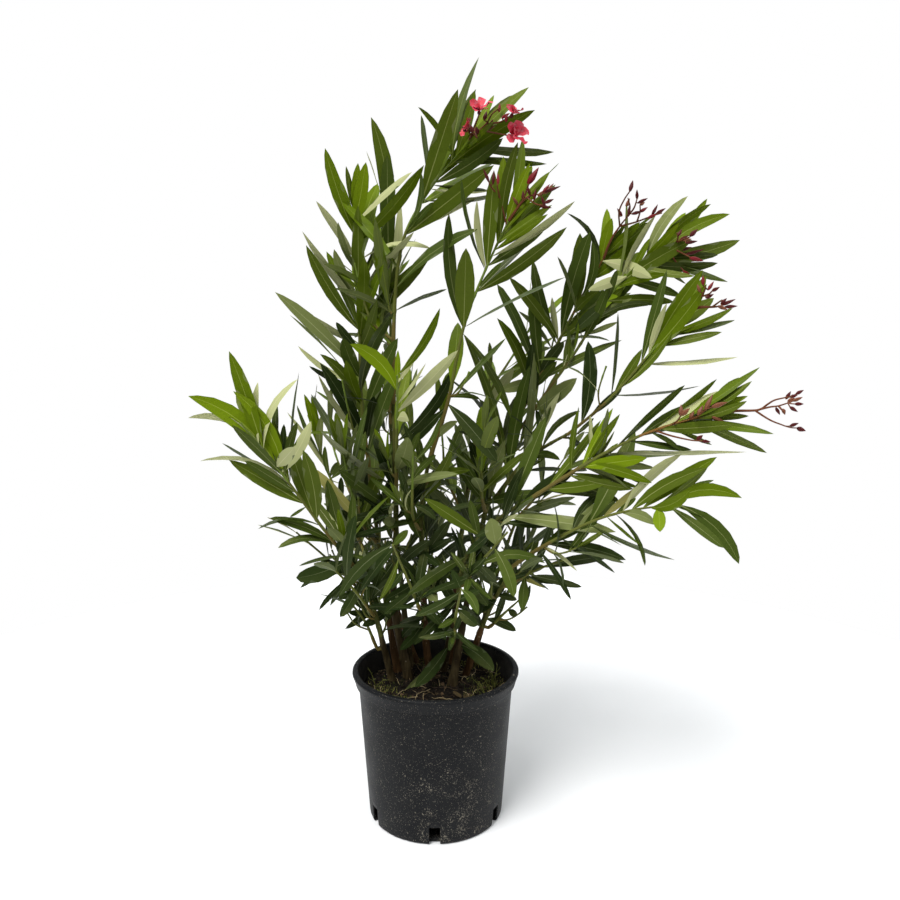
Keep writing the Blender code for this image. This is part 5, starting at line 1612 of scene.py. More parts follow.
@dataclass
class Pot:
    """The nursery pot: a tapering wall with a rolled lip, a flat floor and slots at its foot."""

    rim_radius: float = 0.1205
    rim_height: float = 0.216
    lip_depth: float = 0.020
    lip_lean: float = 0.0045
    lip_round: float = 0.004
    body_radius: float = 0.1115
    foot_radius: float = 0.0975
    foot_round: float = 0.003
    wall: float = 0.0025
    slots: int = 6
    slot_width: float = 0.015
    slot_height: float = 0.026
    slot_depth: float = 0.016
    swell: float = 0.0011  # how far the lip's waist stands back from the rim
    bead: float = 0.0012  # round of the step under the lip
    brow: float = 0.0030  # round of the lip's inner edge
    sides: int = 144

    def wall_radius(self, height: Array | float) -> Array | float:
        """The wall's outer radius at a height, on a straight taper from foot to lip."""
        top = self.rim_height - self.lip_depth
        return self.foot_radius + (self.body_radius - self.foot_radius) * height / top

    def profile(self) -> Array:
        """The outline of the wall, from the floor outside round to the floor inside.

        Returns:
            Its points, as (radius, height).
        """
        def arc(radius: float, height: float, size: float, start: float, stop: float, steps: int) -> Array:
            """Points (radius + size cos a, height + size sin a) from start to stop, in degrees."""
            turn = np.radians(np.linspace(start, stop, steps))
            return np.stack([radius + size * np.cos(turn), height + size * np.sin(turn)], 1)

        low = self.rim_height - self.lip_depth
        rise = np.linspace(0.03, 0.985, 22) * low
        outer = np.stack([self.wall_radius(rise), rise], 1)
        lip = self.rim_radius - self.lip_lean
        inner = self.body_radius - self.wall
        parts = [
            [(0.03, 0.0), (0.07, 0.0)],
            arc(self.foot_radius - self.foot_round, self.foot_round, self.foot_round, -90, -8, 5),
            outer,
            [(self.body_radius + 0.0004, low - self.bead), (lip - 0.0025, low - self.bead / 2)],
            arc(lip - self.bead, low + self.bead, self.bead, -80, 0, 4),
            [(lip + self.bead, low + 0.006), (self.rim_radius - self.swell, low + 0.0125)],
            arc(self.rim_radius - self.lip_round, self.rim_height - self.lip_round, self.lip_round,
                -12, 90, 8),
            arc(self.body_radius + 0.0034, self.rim_height - self.brow, self.brow, 90, 172, 6),
            [(inner + 0.0009, self.rim_height - 0.008), (inner, low)],
            [(self.wall_radius(0.08) - self.wall, 0.08)],
            [(self.wall_radius(self.wall) - self.wall, self.wall), (0.04, self.wall)],
        ]
        return np.concatenate([np.array(part, float) for part in parts])

    def build(self) -> bpy.types.Object:
        """The turned wall, with the slots cut through its foot.

        Returns:
            The pot.
        """
        profile = self.profile()
        rings = np.concatenate([
            profile[:, :1, None] * circle(self.sides), np.repeat(profile[:, 1:, None], self.sides, 1)], 2)
        pole = np.array([[0.0, 0.0, 0.0]])
        shape = skin(rings[None], pole, pole + UP * self.wall)
        pot = add_piece("pot_shell", shape, [PotPlastic().material()], 50)
        for slot in range(self.slots):
            self.cut_slot(pot, math.tau * slot / self.slots - math.pi / 2)
        bpy.context.view_layer.update()
        graph = bpy.context.evaluated_depsgraph_get()
        whole = bpy.data.meshes.new_from_object(pot.evaluated_get(graph))
        pot.modifiers.clear()
        pot.data = whole
        for cutter in [item for item in bpy.data.objects if item.name.startswith("slot_cutter")]:
            bpy.data.objects.remove(cutter)
        report(pot, ["pot"])
        return pot

    def cut_slot(self, pot: bpy.types.Object, angle: float) -> None:
        """Takes one slot out of the foot.

        Args:
            pot: The pot.
            angle: The slot's angle round the pot.
        """
        half = np.array((self.slot_depth, self.slot_width, self.slot_height * 2)) / 2
        corners = np.array([(x, y, z) for z in (-1, 1) for x, y in ((-1, -1), (1, -1), (1, 1), (-1, 1))])
        cosine, sine = math.cos(angle), math.sin(angle)
        turn = np.array(((cosine, -sine, 0), (sine, cosine, 0), (0, 0, 1)))
        points = (corners * half + np.array((self.foot_radius, 0, 0))) @ turn.T
        faces = np.array(((0, 3, 2, 1), (4, 5, 6, 7), (0, 1, 5, 4), (1, 2, 6, 5), (2, 3, 7, 6), (3, 0, 4, 7)))
        box = Shape(points, faces, np.zeros((0, 3), int), np.zeros(6, int), np.zeros(0, int))
        cutter = add_piece(f"slot_cutter_{len(pot.modifiers)}", box, [])
        cutter.hide_render = True
        cut = pot.modifiers.new(cutter.name, "BOOLEAN")
        cut.operation, cut.object, cut.solver = "DIFFERENCE", cutter, "EXACT"


# ---------------------------------------------------------------- compost and litter


@dataclass
class Compost:
    """The fill of the pot, with its litter of crumbs, straw, moss, dry leaves and seedlings."""

    feet: Array  # (x, y) of the canes
    pot: Pot
    radius: float = 0.1066
    depth: float = 0.10
    ring_count: int = 60
    sides: int = 168
    mound: float = 0.0030  # height of the mound round a cane
    mound_width: float = 0.012
    inside: float = 0.100  # radius that straws stay within
    sink: float = 0.0004  # how deep moss is rooted
    chips: int = 900
    straws: int = 130
    straw_points: int = 9
    spikes: int = 2000
    dry_leaves: int = 10
    moss_patches: tuple[Place, ...] = (  # x, y and how widely its spikes are strewn
        (0.074, 0.000, 0.016), (0.066, -0.040, 0.013), (0.088, 0.018, 0.010), (-0.080, -0.010, 0.013),
        (-0.066, -0.046, 0.012), (0.020, -0.082, 0.010), (-0.030, 0.090, 0.012), (0.050, 0.080, 0.010),
    )
    weeds: tuple[tuple[float, float], ...] = (
        (0.078, -0.018), (0.086, -0.004), (0.072, -0.030), (0.082, 0.012), (-0.088, 0.004),
        (0.060, 0.070), (-0.050, 0.084),
    )

    def height(self, places: Array) -> Array:
        """The surface at places (x, y): clods, crumbs, and a low mound round each cane.

        z = level + clods + crumbs + mound exp(-(distance to the nearest cane / width)^2 / 2).

        Args:
            places: Places whose first two values are x and y.

        Returns:
            The height z of each.
        """
        flat = places[..., :2]
        gap = np.linalg.norm(flat[..., None, :] - self.feet, axis=-1)
        mounds = self.mound * np.exp(-0.5 * (gap / self.mound_width) ** 2).max(-1)
        clods = 0.0016 * ripples(flat, 0.035, 14, 3) + 0.0009 * ripples(flat, 0.012, 22, 5)
        crumbs = 0.0006 * ripples(flat, 0.0050, 30, 8)
        return SOIL_LEVEL + 0.0005 + mounds + clods + crumbs

    def build(self) -> None:
        """The fill and everything that lies on it."""
        self.build_fill()
        self.build_crumbs()
        self.build_straw()
        self.build_moss()
        self.build_seedlings()
        self.build_dry_leaves()

    def build_fill(self) -> None:
        """A closed solid: the uneven top by (radius, angle), then down the wall to a flat floor."""
        shares = np.linspace(0.015, 1, self.ring_count)
        flat = self.radius * shares[::-1, None, None] * circle(self.sides)
        top = np.concatenate([flat, self.height(flat)[..., None]], 2)
        low = SOIL_LEVEL - self.depth
        foot_radius = float(self.pot.wall_radius(low)) - self.pot.wall - 0.001
        floor = np.concatenate([foot_radius * circle(self.sides), np.full((self.sides, 1), low)], 1)
        inner = floor * np.array((0.05, 0.05, 1))
        rings = np.concatenate([inner[None], floor[None], top])
        pole = np.array([[0, 0, low]])
        peak = np.array([[0, 0, self.height(np.zeros((1, 2)))[0]]])
        fill = add_piece("compost_fill", skin(rings[None], pole, peak), [CompostFinish().material()], 180)
        report(fill, ["compost"])

    def scatter(self, count: int, rule: np.random.Generator, reach: float = 0.101) -> Array:
        """Places strewn evenly over the surface.

        Args:
            count: How many.
            rule: Where the chance comes from.
            reach: Radius that they stay within.

        Returns:
            The places, as rows of x and y.
        """
        distance = reach * np.sqrt(rule.uniform(0, 1, count))
        turn = rule.uniform(0, math.tau, count)
        return np.stack([distance * np.cos(turn), distance * np.sin(turn)], 1)

    def grounded(self, flat: Array, lift: Array | float = 0.0) -> Array:
        """The points above places (x, y) at this height over the surface."""
        return np.concatenate([flat, (self.height(flat) + lift)[..., None]], -1)

    def build_crumbs(self) -> None:
        """Chips, clods and pebbles: twenty-faced stones with each corner moved, flattened and turned."""
        rule = np.random.default_rng(21)
        golden = (1 + math.sqrt(5)) / 2
        signs = [(a, b * golden) for a in (-1, 1) for b in (-1, 1)]
        corners = unit(np.array([(a, b, 0) for a, b in signs] + [(0, a, b) for a, b in signs]
                                + [(b, 0, a) for a, b in signs], float))
        near = np.linalg.norm(corners[:, None] - corners[None], axis=-1) < 1.2
        faces = [(a, b, c) for a in range(12) for b in range(a + 1, 12) for c in range(b + 1, 12)
                 if near[a, b] and near[b, c] and near[a, c]]
        faces = np.array([face if np.linalg.det(corners[list(face)]) > 0 else face[::-1] for face in faces])
        count = self.chips
        sizes = rule.gamma(2.2, 0.00068, (count, 1, 1)) + 0.0006
        stretch = rule.uniform((0.6, 0.5, 0.35), (1.5, 1.1, 0.8), (count, 3))[:, None]
        points = corners * rule.uniform(0.72, 1.2, (count, 12, 1)) * stretch * sizes
        turn = rule.uniform(0, math.tau, count)[:, None]
        x, y, z = np.moveaxis(points, -1, 0)
        spun = np.stack([x * np.cos(turn) - y * np.sin(turn), x * np.sin(turn) + y * np.cos(turn), z], -1)
        points = spun + self.grounded(self.scatter(count, rule))[:, None]
        kinds = rule.choice(4, count, p=(0.56, 0.32, 0.10, 0.02))
        shape = Shape(
            points.reshape(-1, 3), np.zeros((0, 4), int),
            (faces[None] + 12 * np.arange(count)[:, None, None]).reshape(-1, 3),
            np.zeros(0, int), np.repeat(kinds, len(faces)))
        materials = materials_of(
            PlantFinish("chip_dark", (0.009, 0.006, 0.004), 0.85, 0.1, 0.002, 0.0005),
            PlantFinish("chip_brown", (0.021, 0.014, 0.009), 0.85, 0.1, 0.002, 0.0005),
            PlantFinish("chip_tan", (0.105, 0.066, 0.034), 0.8, 0.2, 0.002, 0.0005),
            PlantFinish("grit_pale", (0.300, 0.240, 0.170), 0.8, 0.3, 0.002, 0.0004))
        report(add_piece("compost_chips", shape, materials, 25))

    def build_straw(self) -> None:
        """Dry fibres and straws: thin tubes along arcs that lie on the surface."""
        rule = np.random.default_rng(34)
        shapes = []
        steps = np.linspace(0, 1, self.straw_points)
        for number, start in enumerate(self.scatter(self.straws, rule, 0.092)):
            turn, length = rule.uniform(0, math.tau), rule.uniform(0.010, 0.042)
            heading = turn + rule.uniform(-1.3, 1.3) * steps
            step = length / (self.straw_points - 1)
            flat = start + step * np.cumsum(np.stack([np.cos(heading), np.sin(heading)], 1), 0)
            flat *= np.minimum(1, self.inside / np.maximum(np.linalg.norm(flat, axis=1), TINY))[:, None]
            line = self.grounded(flat, 0.0008 + 0.003 * rule.uniform(0, 1) * np.sin(math.pi * steps))
            radius = rule.uniform(0.00028, 0.00062)
            shapes.append(tube(line, np.linspace(radius, radius * 0.6, len(line)), 5, slot=number % 3))
        materials = materials_of(
            PlantFinish("straw_pale", (0.360, 0.280, 0.150), 0.7, 0.3),
            PlantFinish("straw_tan", (0.110, 0.074, 0.036), 0.75, 0.3),
            PlantFinish("root_brown", (0.040, 0.024, 0.014), 0.8, 0.3))
        report(add_piece("compost_straw", join_shapes(shapes), materials))

    def build_moss(self) -> None:
        """Tufts of moss: short spikes that lean out from patches at the right and the left."""
        rule = np.random.default_rng(55)
        patches = np.array(self.moss_patches)
        pick = rule.integers(len(patches), size=self.spikes)
        flat = patches[pick, :2] + rule.normal(size=(self.spikes, 2)) * patches[pick, 2:]
        roots = self.grounded(flat[np.linalg.norm(flat, axis=1) < 0.102], -self.sink)
        aims = unit(rule.normal(size=roots.shape) * np.array((0.6, 0.6, 0.2)) + UP)
        lengths = rule.uniform(0.0016, 0.0052, len(roots))
        radii = rule.uniform(0.0003, 0.0007, len(roots))
        kinds = rule.choice(2, len(roots), p=(0.6, 0.4))
        tufts = spindles(roots, aims, lengths, radii, np.array(((0.05, 0.8), (0.45, 1.0))), kinds, 3)
        materials = materials_of(PlantFinish("moss_olive", (0.075, 0.085, 0.018), 0.8, 0.2),
                                 PlantFinish("moss_yellow", (0.190, 0.180, 0.045), 0.8, 0.2))
        report(add_piece("compost_moss", tufts, materials))

    def build_seedlings(self) -> None:
        """Small weeds by the wall: thin arching stems with pairs of tiny leaves."""
        rule = np.random.default_rng(89)
        stems, blades = [], []
        for place in np.array(self.weeds):
            root = self.grounded(place)
            for _ in range(3):
                lean = rule.uniform(-0.022, 0.012, 2) * np.sign(place)
                tip = root + np.array((*lean, rule.uniform(0.012, 0.030)))
                line = smooth_line((root, (root + tip) / 2 + UP * 0.004, tip), 0.003)
                stems.append(tube(line, np.linspace(0.0006, 0.0003, len(line)), 5))
                for share in (0.6, 0.95):
                    aim = unit(rule.normal(size=3) + 0.6 * UP)
                    face = unit(np.cross(aim, across(aim)[0]))
                    foot = place_on(line, share)[0]
                    blades.append(Blade(foot, aim, face, rule.uniform(0.003, 0.006), 0.0018, -0.3 * face))
        weed = LeafFinish("weed", (0.105, 0.112, 0.026), (0.115, 0.120, 0.040), (0.140, 0.140, 0.045), 0.6)
        shape = join_shapes([LEAF_FORM.shape(blades), *stems])
        report(add_piece("seedlings", shape, weed.materials()))

    def build_dry_leaves(self) -> None:
        """Fallen leaves, dried tan and curled, strewn over the surface."""
        rule = np.random.default_rng(144)
        blades = []
        for place in self.scatter(self.dry_leaves, rule, 0.085):
            turn, length = rule.uniform(0, math.tau), rule.uniform(0.016, 0.038)
            aim = np.array((math.cos(turn), math.sin(turn), 0.0))
            if np.linalg.norm(place + aim[:2] * length) > 0.096:
                aim = unit(np.array((*-place, 0.0)))
            root = self.grounded(place, 0.0018)
            face = unit(UP + rule.normal(size=3) * 0.25)
            face = unit(face - aim * (face @ aim))
            blades.append(Blade(root, aim, face, length, length * rule.uniform(0.2, 0.3),
                                rule.uniform(-0.05, 0.12) * face,
                                rule.uniform(0.2, 0.6), rule.uniform(-0.8, 0.8), 0.16,
                                rule.uniform(0, math.tau), 1, int(rule.integers(2))))
        materials = blade_materials([
            LeafFinish("dry_tan", (0.068, 0.046, 0.023), (0.058, 0.041, 0.022), (0.085, 0.060, 0.033), 0.8),
            LeafFinish("dry_brown", (0.034, 0.022, 0.012), (0.030, 0.021, 0.013), (0.046, 0.032, 0.018), 0.8)])
        report(add_piece("fallen_leaves", LEAF_FORM.shape(blades), materials))


# ---------------------------------------------------------------- canes and stems


@dataclass
class Canes:
    """The woody canes, with bark relief, leaf scars and a flared foot."""

    growth: Growth
    sides: int = 18
    step: float = 0.0035
    flare: float = 1.22
    flare_height: float = 0.03
    scar_gap: float = 0.030
    sunk: float = 0.006  # how far a foot goes into the compost
    slim: float = 0.30  # how much slimmer a cane is above its foot than the solid
    slim_from: float = 0.16  # distance from the foot at which it is that slim
    scar_shift: float = 0.011  # how much further along the scars of the next cane lie
    scar_width: float = 0.0022
    scar_height: float = 0.00055
    bark_radius: float = 0.006  # of the cane that the bark's pattern is laid round
    bark_stretch: float = 0.25  # of its pattern, along the cane
    green_from: float = 0.42  # share of the length from which the bark is olive

    def build(self) -> None:
        """One piece for each cane."""
        materials = materials_of(
            BarkFinish("bark_brown", (0.034, 0.022, 0.008), (0.086, 0.064, 0.028)),
            BarkFinish("bark_red", (0.052, 0.024, 0.008), (0.120, 0.064, 0.024)),
            BarkFinish("bark_olive", (0.058, 0.064, 0.012), (0.120, 0.124, 0.030), (0.20, 0.19, 0.08)))
        for number, cane in enumerate(CANES):
            shape = self.shape(cane, number)
            report(add_piece(f"{cane.name}_bark", shape, materials, 60), [cane.name])

    def shape(self, cane: Cane, number: int) -> Shape:
        """A tube along the cane's line.

        radius(s, a) = taper(s) flare(s) + bark relief + scars, where a scar is a low ring
        exp(-(gap / scar_width)^2) every scar_gap of length.

        Args:
            cane: The cane.
            number: Its place in the list, which seeds its bark.

        Returns:
            The cane's shape, woody below and greener towards its tip.
        """
        limb = self.growth.limbs[cane.name]
        start = limb.line[0] - UP * self.sunk
        if cane.parent:
            parent = self.growth.limbs[cane.parent]
            start = self.growth.line_from(parent, cane.at, cane.way, self.growth.cane_step)[1]
        line = smooth_line([start, *limb.line], self.step)
        share, reach = shares_of(line)
        taper = limb.radius_at(share) * (1 - self.slim * np.minimum(1, reach / self.slim_from) ** 2)
        swell = 0 if cane.parent else (self.flare - 1) * np.maximum(0, 1 - reach / self.flare_height)
        gap = (reach + self.scar_shift * number) % self.scar_gap - self.scar_gap / 2
        scars = self.scar_height * np.exp(-(gap / self.scar_width) ** 2)
        ring = np.tile(self.bark_radius * circle(self.sides), (len(line), 1, 1))
        height = np.repeat(self.bark_stretch * reach[:, None], self.sides, 1)
        grid = np.concatenate([ring, height[..., None]], -1)
        relief = 0.00030 * ripples(grid, 0.007, 16, 100 + number)
        relief += 0.00014 * ripples(grid, 0.0026, 20, number)
        radii = (taper * (1 + swell) + scars)[:, None] + relief * (taper / 0.005)[:, None]
        kinds = np.where((share > self.green_from) | bool(cane.parent), 2, number % 2)
        return tube(line, radii, self.sides, kinds)


@dataclass
class Foliage:
    """Every shoot with its finer twigs, and all their leaves."""

    growth: Growth
    cane_twigs: int = 4
    cane_leaf: float = 0.072  # length of the longest leaves on them
    cane_twig_radius: float = 0.0016
    # The twigs along the canes hang deep in the shrub; their low value gives dark leaves, partly older and partly
    # painted shade.
    cane_youth: float = 0.12
    shoot_twigs: int = 1
    step: float = 0.005
    room: float = 0.0008  # between a leaf's midrib and another stem
    slim: float = 0.92  # a stem's radius against the solid stem's
    knot: float = 0.25  # how much thicker it is at a whorl
    knot_width: float = 0.0025
    leaf_margin: float = 1.5  # part of a leaf's breadth, in the picture
    old_stems: float = 0.4  # youth of a shoot below which its tip is not green
    twigs: list[Twig] = field(default_factory=list)
    leaves: list[Blade] = field(default_factory=list)

    def grow(self) -> None:
        """Collects the twigs, then the leaves that stay clear of limbs and other stems."""
        fine = []
        for mass, twig in self.growth.shoots():
            self.twigs.append(twig)
            if " twig " not in twig.name:
                fine += self.growth.fine_twigs(twig.name, twig.line, self.shoot_twigs, (mass.bare, 0.45),
                                               mass.leaf * 0.62, twig.foot_radius * 0.45, twig.youth * 0.8)
        for cane in CANES:
            limb = self.growth.limbs[cane.name]
            fine += self.growth.fine_twigs(cane.name, limb.line, self.cane_twigs, (0.30, 0.97),
                                           self.cane_leaf, self.cane_twig_radius, self.cane_youth)
        grown, seen, kept = [], [], []
        for twig in self.twigs + fine:
            leaves = list(self.growth.leaves_on(twig))
            leaves = [leaf for leaf, clear in zip(leaves, self.clear_of_sky(leaves)) if clear]
            if leaves or " fine " not in twig.name:
                kept.append(twig)
            mass_name = twig.name.split(" ")[0]
            if mass_name in SEEN_LEAVES and " fine " not in twig.name:
                leaves = [leaf for leaf in leaves if leaf.aim[1] > self.growth.far_side]
                if " twig " not in twig.name:
                    seen += self.growth.seen_leaves(mass_name, twig.line, twig.name)
            grown += leaves
        for cane in CANES:
            seen += self.growth.seen_leaves(cane.name, self.growth.limbs[cane.name].line, cane.name)
        self.twigs = kept
        self.leaves = [leaf for leaf, clear in zip(grown, self.clear_of_stems(grown)) if clear]
        self.leaves += seen
        LOG.info("%d twigs, %d leaves, %d of them placed", len(self.twigs), len(self.leaves), len(seen))

    def clear_of_sky(self, leaves: Sequence[Blade]) -> Array:
        """Which leaves stay out of the spots where the sky shows between the shoots.

        Args:
            leaves: The leaves.

        Returns:
            True for each leaf that does.
        """
        sky = np.array(OPEN_SKY, float)
        spots = SIGHT.seen(LEAF_FORM.spine(leaves, np.linspace(0.3, 1, 12)))
        gaps = np.linalg.norm(spots[:, :, None] - sky[:, :2], axis=-1) - sky[:, 2] - self.leaf_margin
        return gaps.min((1, 2)) > 0

    def clear_of_stems(self, leaves: Sequence[Blade]) -> Array:
        """Which leaves keep clear of every limb and of every stem but their own.

        Args:
            leaves: The leaves.

        Returns:
            True for each leaf whose midrib passes no stem closer than its radius.
        """
        lines = [(limb.line, limb.foot_radius, name) for name, limb in self.growth.limbs.items()]
        lines += [(twig.line, twig.foot_radius * 0.7, twig.name) for twig in self.twigs]
        starts = np.concatenate([line[:-1] for line, _, _ in lines])
        steps = np.concatenate([np.diff(line, axis=0) for line, _, _ in lines])
        radii = np.concatenate([np.full(len(line) - 1, radius) for line, radius, _ in lines])
        owners = np.concatenate([np.full(len(line) - 1, name) for line, _, name in lines])
        clear = []
        for leaf, spine in zip(leaves, LEAF_FORM.spine(leaves, (0.25, 0.45, 0.65, 0.85))):
            away = spine[:, None] - starts
            share = np.clip((away * steps).sum(-1) / (steps * steps).sum(-1), 0, 1)
            gap = np.linalg.norm(away - share[..., None] * steps, axis=-1) - radii - self.room
            clear.append((gap[:, owners != leaf.owner] > 0).all())
        return np.array(clear)

    def build(self) -> None:
        """The leaves and the stems as joined pieces, which stand for the masses."""
        masses = [mass.name for mass in MASSES]
        materials = blade_materials(LEAF_FINISHES)
        each = LEAF_FORM.shape(self.leaves[:1]).weight
        pieces = math.ceil(len(self.leaves) * each / LEAF_LIMIT)
        for number in range(pieces):
            shape = LEAF_FORM.shape(self.leaves[number::pieces])
            report(add_piece(f"leaves_{number + 1}", shape, materials, 60), masses)
        materials = materials_of(
            PlantFinish("stem_brown", (0.140, 0.110, 0.026), 0.6, 0.15),
            PlantFinish("stem_olive", (0.125, 0.138, 0.026), 0.52, 0.15),
            PlantFinish("stem_green", (0.150, 0.210, 0.030), 0.5, 0.2),
            PlantFinish("stem_rust", (0.210, 0.105, 0.020), 0.5, 0.2))
        shape = join_shapes([self.stem_shape(twig) for twig in self.twigs])
        report(add_piece("stems", shape, materials), masses)

    def stem_shape(self, twig: Twig) -> Shape:
        """A stem as a smooth tube, thicker at each whorl of leaves.

        radius(s) = taper(s) (1 + knot sum of exp(-(gap / knot_width)^2) over the whorls).

        Args:
            twig: The stem.

        Returns:
            Its shape, brown below and green at the tip.
        """
        points = twig.line[1:] if np.linalg.norm(twig.joint - twig.line[0]) < 1e-6 else twig.line
        line = smooth_line([twig.joint, *points], self.step)
        share, reach = shares_of(line)
        taper = self.slim * (twig.foot_radius + (self.growth.twig_tip - twig.foot_radius) * share)
        whorls = 1 - (1 - np.arange(twig.whorls) / (twig.whorls - 1)) ** self.growth.crowding
        places = (twig.bare + (self.growth.last_whorl - twig.bare) * whorls) * reach[-1]
        knots = np.exp(-((reach[:, None] - places) / self.knot_width) ** 2).sum(1)
        last = 3 if twig.blossom is Blossom.LONG_BUDS else 2 if twig.youth > self.old_stems else 1
        kinds = np.where(share < 0.30, 0, np.where(share < 0.62, 1, last))
        return tube(line, taper * (1 + self.knot * knots), 8, kinds)


# ---------------------------------------------------------------- blossom


@dataclass
class Flowers:
    """Flower heads at the shoots' tips: stalks, calyces, buds and open flowers."""

    foliage: Foliage
    stalk: float = 0.0011
    plumpness: float = 0.00078  # radius of a bud against its breadth in the picture
    stout: float = 1.6  # a head's main stalk against the others
    stalks: list[Shape] = field(default_factory=list)
    buds: list[tuple[Array, Array, float, float, int]] = field(default_factory=list)
    petals: list[Blade] = field(default_factory=list)

    def build(self) -> None:
        """Builds every head, then joins each kind into a piece."""
        for twig in self.foliage.twigs:
            if twig.blossom is not Blossom.NONE:
                self.grow_head(twig.name.rsplit(" ", 1)[0], twig.line)
        masses = [mass.name for mass in MASSES if mass.blossom is not Blossom.NONE]
        materials = materials_of(PlantFinish("flower_stalk", (0.165, 0.055, 0.022), 0.5, 0.2))
        report(add_piece("flower_stalks", join_shapes(self.stalks), materials), masses)
        roots, aims, lengths, radii, kinds = (np.array(column) for column in zip(*self.buds))
        profile = np.array(((0.0, 0.45), (0.16, 0.80), (0.36, 1.0), (0.62, 0.72), (0.84, 0.34)))
        buds = spindles(roots, aims, lengths, radii, profile, kinds)
        materials = materials_of(
            PlantFinish("bud_maroon", (0.088, 0.011, 0.010), 0.5, 0.2),
            PlantFinish("bud_red", (0.205, 0.014, 0.018), 0.5, 0.2),
            PlantFinish("bud_brown", (0.200, 0.070, 0.034), 0.5, 0.25))
        report(add_piece("flower_buds", buds, materials), masses)
        materials = blade_materials([
            LeafFinish("petal_rose", (0.760, 0.070, 0.120), (0.700, 0.150, 0.190), (0.640, 0.040, 0.080), 0.5),
            LeafFinish("petal_deep", (0.600, 0.030, 0.070), (0.620, 0.100, 0.130), (0.500, 0.030, 0.050), 0.5)])
        report(add_piece("petals", PETAL_FORM.shape(self.petals), materials, 60), masses)

    def add_stalk(self, start: Array, end: Array, foot: float, tip: float) -> None:
        """One stalk, bowed slightly upwards between its ends."""
        line = smooth_line((start, (start + end) / 2 - UP * 0.04 * np.linalg.norm(end - start), end), 0.004)
        self.stalks.append(tube(line, np.linspace(foot, tip, len(line)), 6))

    def grow_head(self, name: str, line: Array) -> None:
        """One head: its stalks from the shoot, its buds on short stalks, and its open flowers.

        Args:
            name: The mass's name.
            line: The shoot's line.
        """
        rule = random.Random(f"{name} head")
        carriers = resampled(line[-4:], 0.002)
        for row in SEEN_STALKS[name]:
            spots = np.array(row, float).reshape(-1, 2)
            start = SIGHT.closest(carriers, spots[0])
            depths = start[1] - rule.uniform(0.012, 0.040) * np.linspace(0, 1, len(spots))
            points = [start, *(SIGHT.spot(*spot, depth) for spot, depth in zip(spots[1:], depths[1:]))]
            stalk = smooth_line(points, 0.003)
            stout = self.stout if row is SEEN_STALKS[name][0] else 1.0
            radii = np.linspace(self.stalk * 1.2 * stout, self.stalk * 0.75, len(stalk))
            self.stalks.append(tube(stalk, radii, 6))
            carriers = np.concatenate([carriers, stalk])
        for *spots, breadth, kind in SEEN_BUDS[name]:
            root, place = self.beside(carriers, spots[:2], rule.uniform(-0.008, 0.008))
            tip = SIGHT.spot(*spots[2:], root[1] + rule.uniform(-0.005, 0.005))
            self.add_stalk(place, root, self.stalk * 0.75, self.stalk * 0.65)
            length = float(np.linalg.norm(tip - root))
            self.buds.append((root, (tip - root) / length, length, breadth * self.plumpness, kind))
        for mass, spot, length, way in SEEN_BLOOMS:
            if mass == name:
                base, place = self.beside(carriers, spot, -0.004)
                self.add_stalk(place, base, self.stalk, self.stalk * 0.9)
                self.grow_bloom(base, unit(np.array(way)), length / 1000, random.Random(f"{name} {spot}"))

    def beside(self, carriers: Array, spot: Sequence[float], behind: float) -> tuple[Array, Array]:
        """The point at a spot, a little behind the nearest point of its carriers, and that point."""
        place = SIGHT.closest(carriers, spot)
        return SIGHT.spot(*spot, place[1] + behind), place

    def grow_bloom(self, base: Array, way: Array, length: float, rule: random.Random) -> None:
        """One open flower: a calyx, and two rounds of ruffled petals that flare from a short funnel.

        Args:
            base: The end of its stalk.
            way: The way it faces.
            length: Its petals' length.
            rule: Where its small differences come from.
        """
        self.buds.append((base - way * 0.001, way, 0.008, 0.0026, 0))
        first, second = across(way)
        for petal in range(8):
            inner = petal > 4
            turn = petal * math.tau / 5 + inner * 0.6 + rule.uniform(-0.2, 0.2)
            outward = math.cos(turn) * first + math.sin(turn) * second
            open_by = rule.uniform(0.3, 0.6) if inner else rule.uniform(0.7, 1.2)
            aim = unit(way + open_by * outward)
            face = unit(open_by * way - outward + 0.45 * np.cross(way, outward))
            face = unit(face - aim * (face @ aim))
            size = length * rule.uniform(0.85, 1.1) * (0.75 if inner else 1)
            self.petals.append(Blade(base + way * 0.004, aim, face, size, size * rule.uniform(0.62, 0.80),
                                     rule.uniform(-0.55, -0.1) * face, 0.12, rule.uniform(-0.6, 0.6), 0.30,
                                     rule.uniform(0, math.tau), age=petal % 2))


# ---------------------------------------------------------------- studio


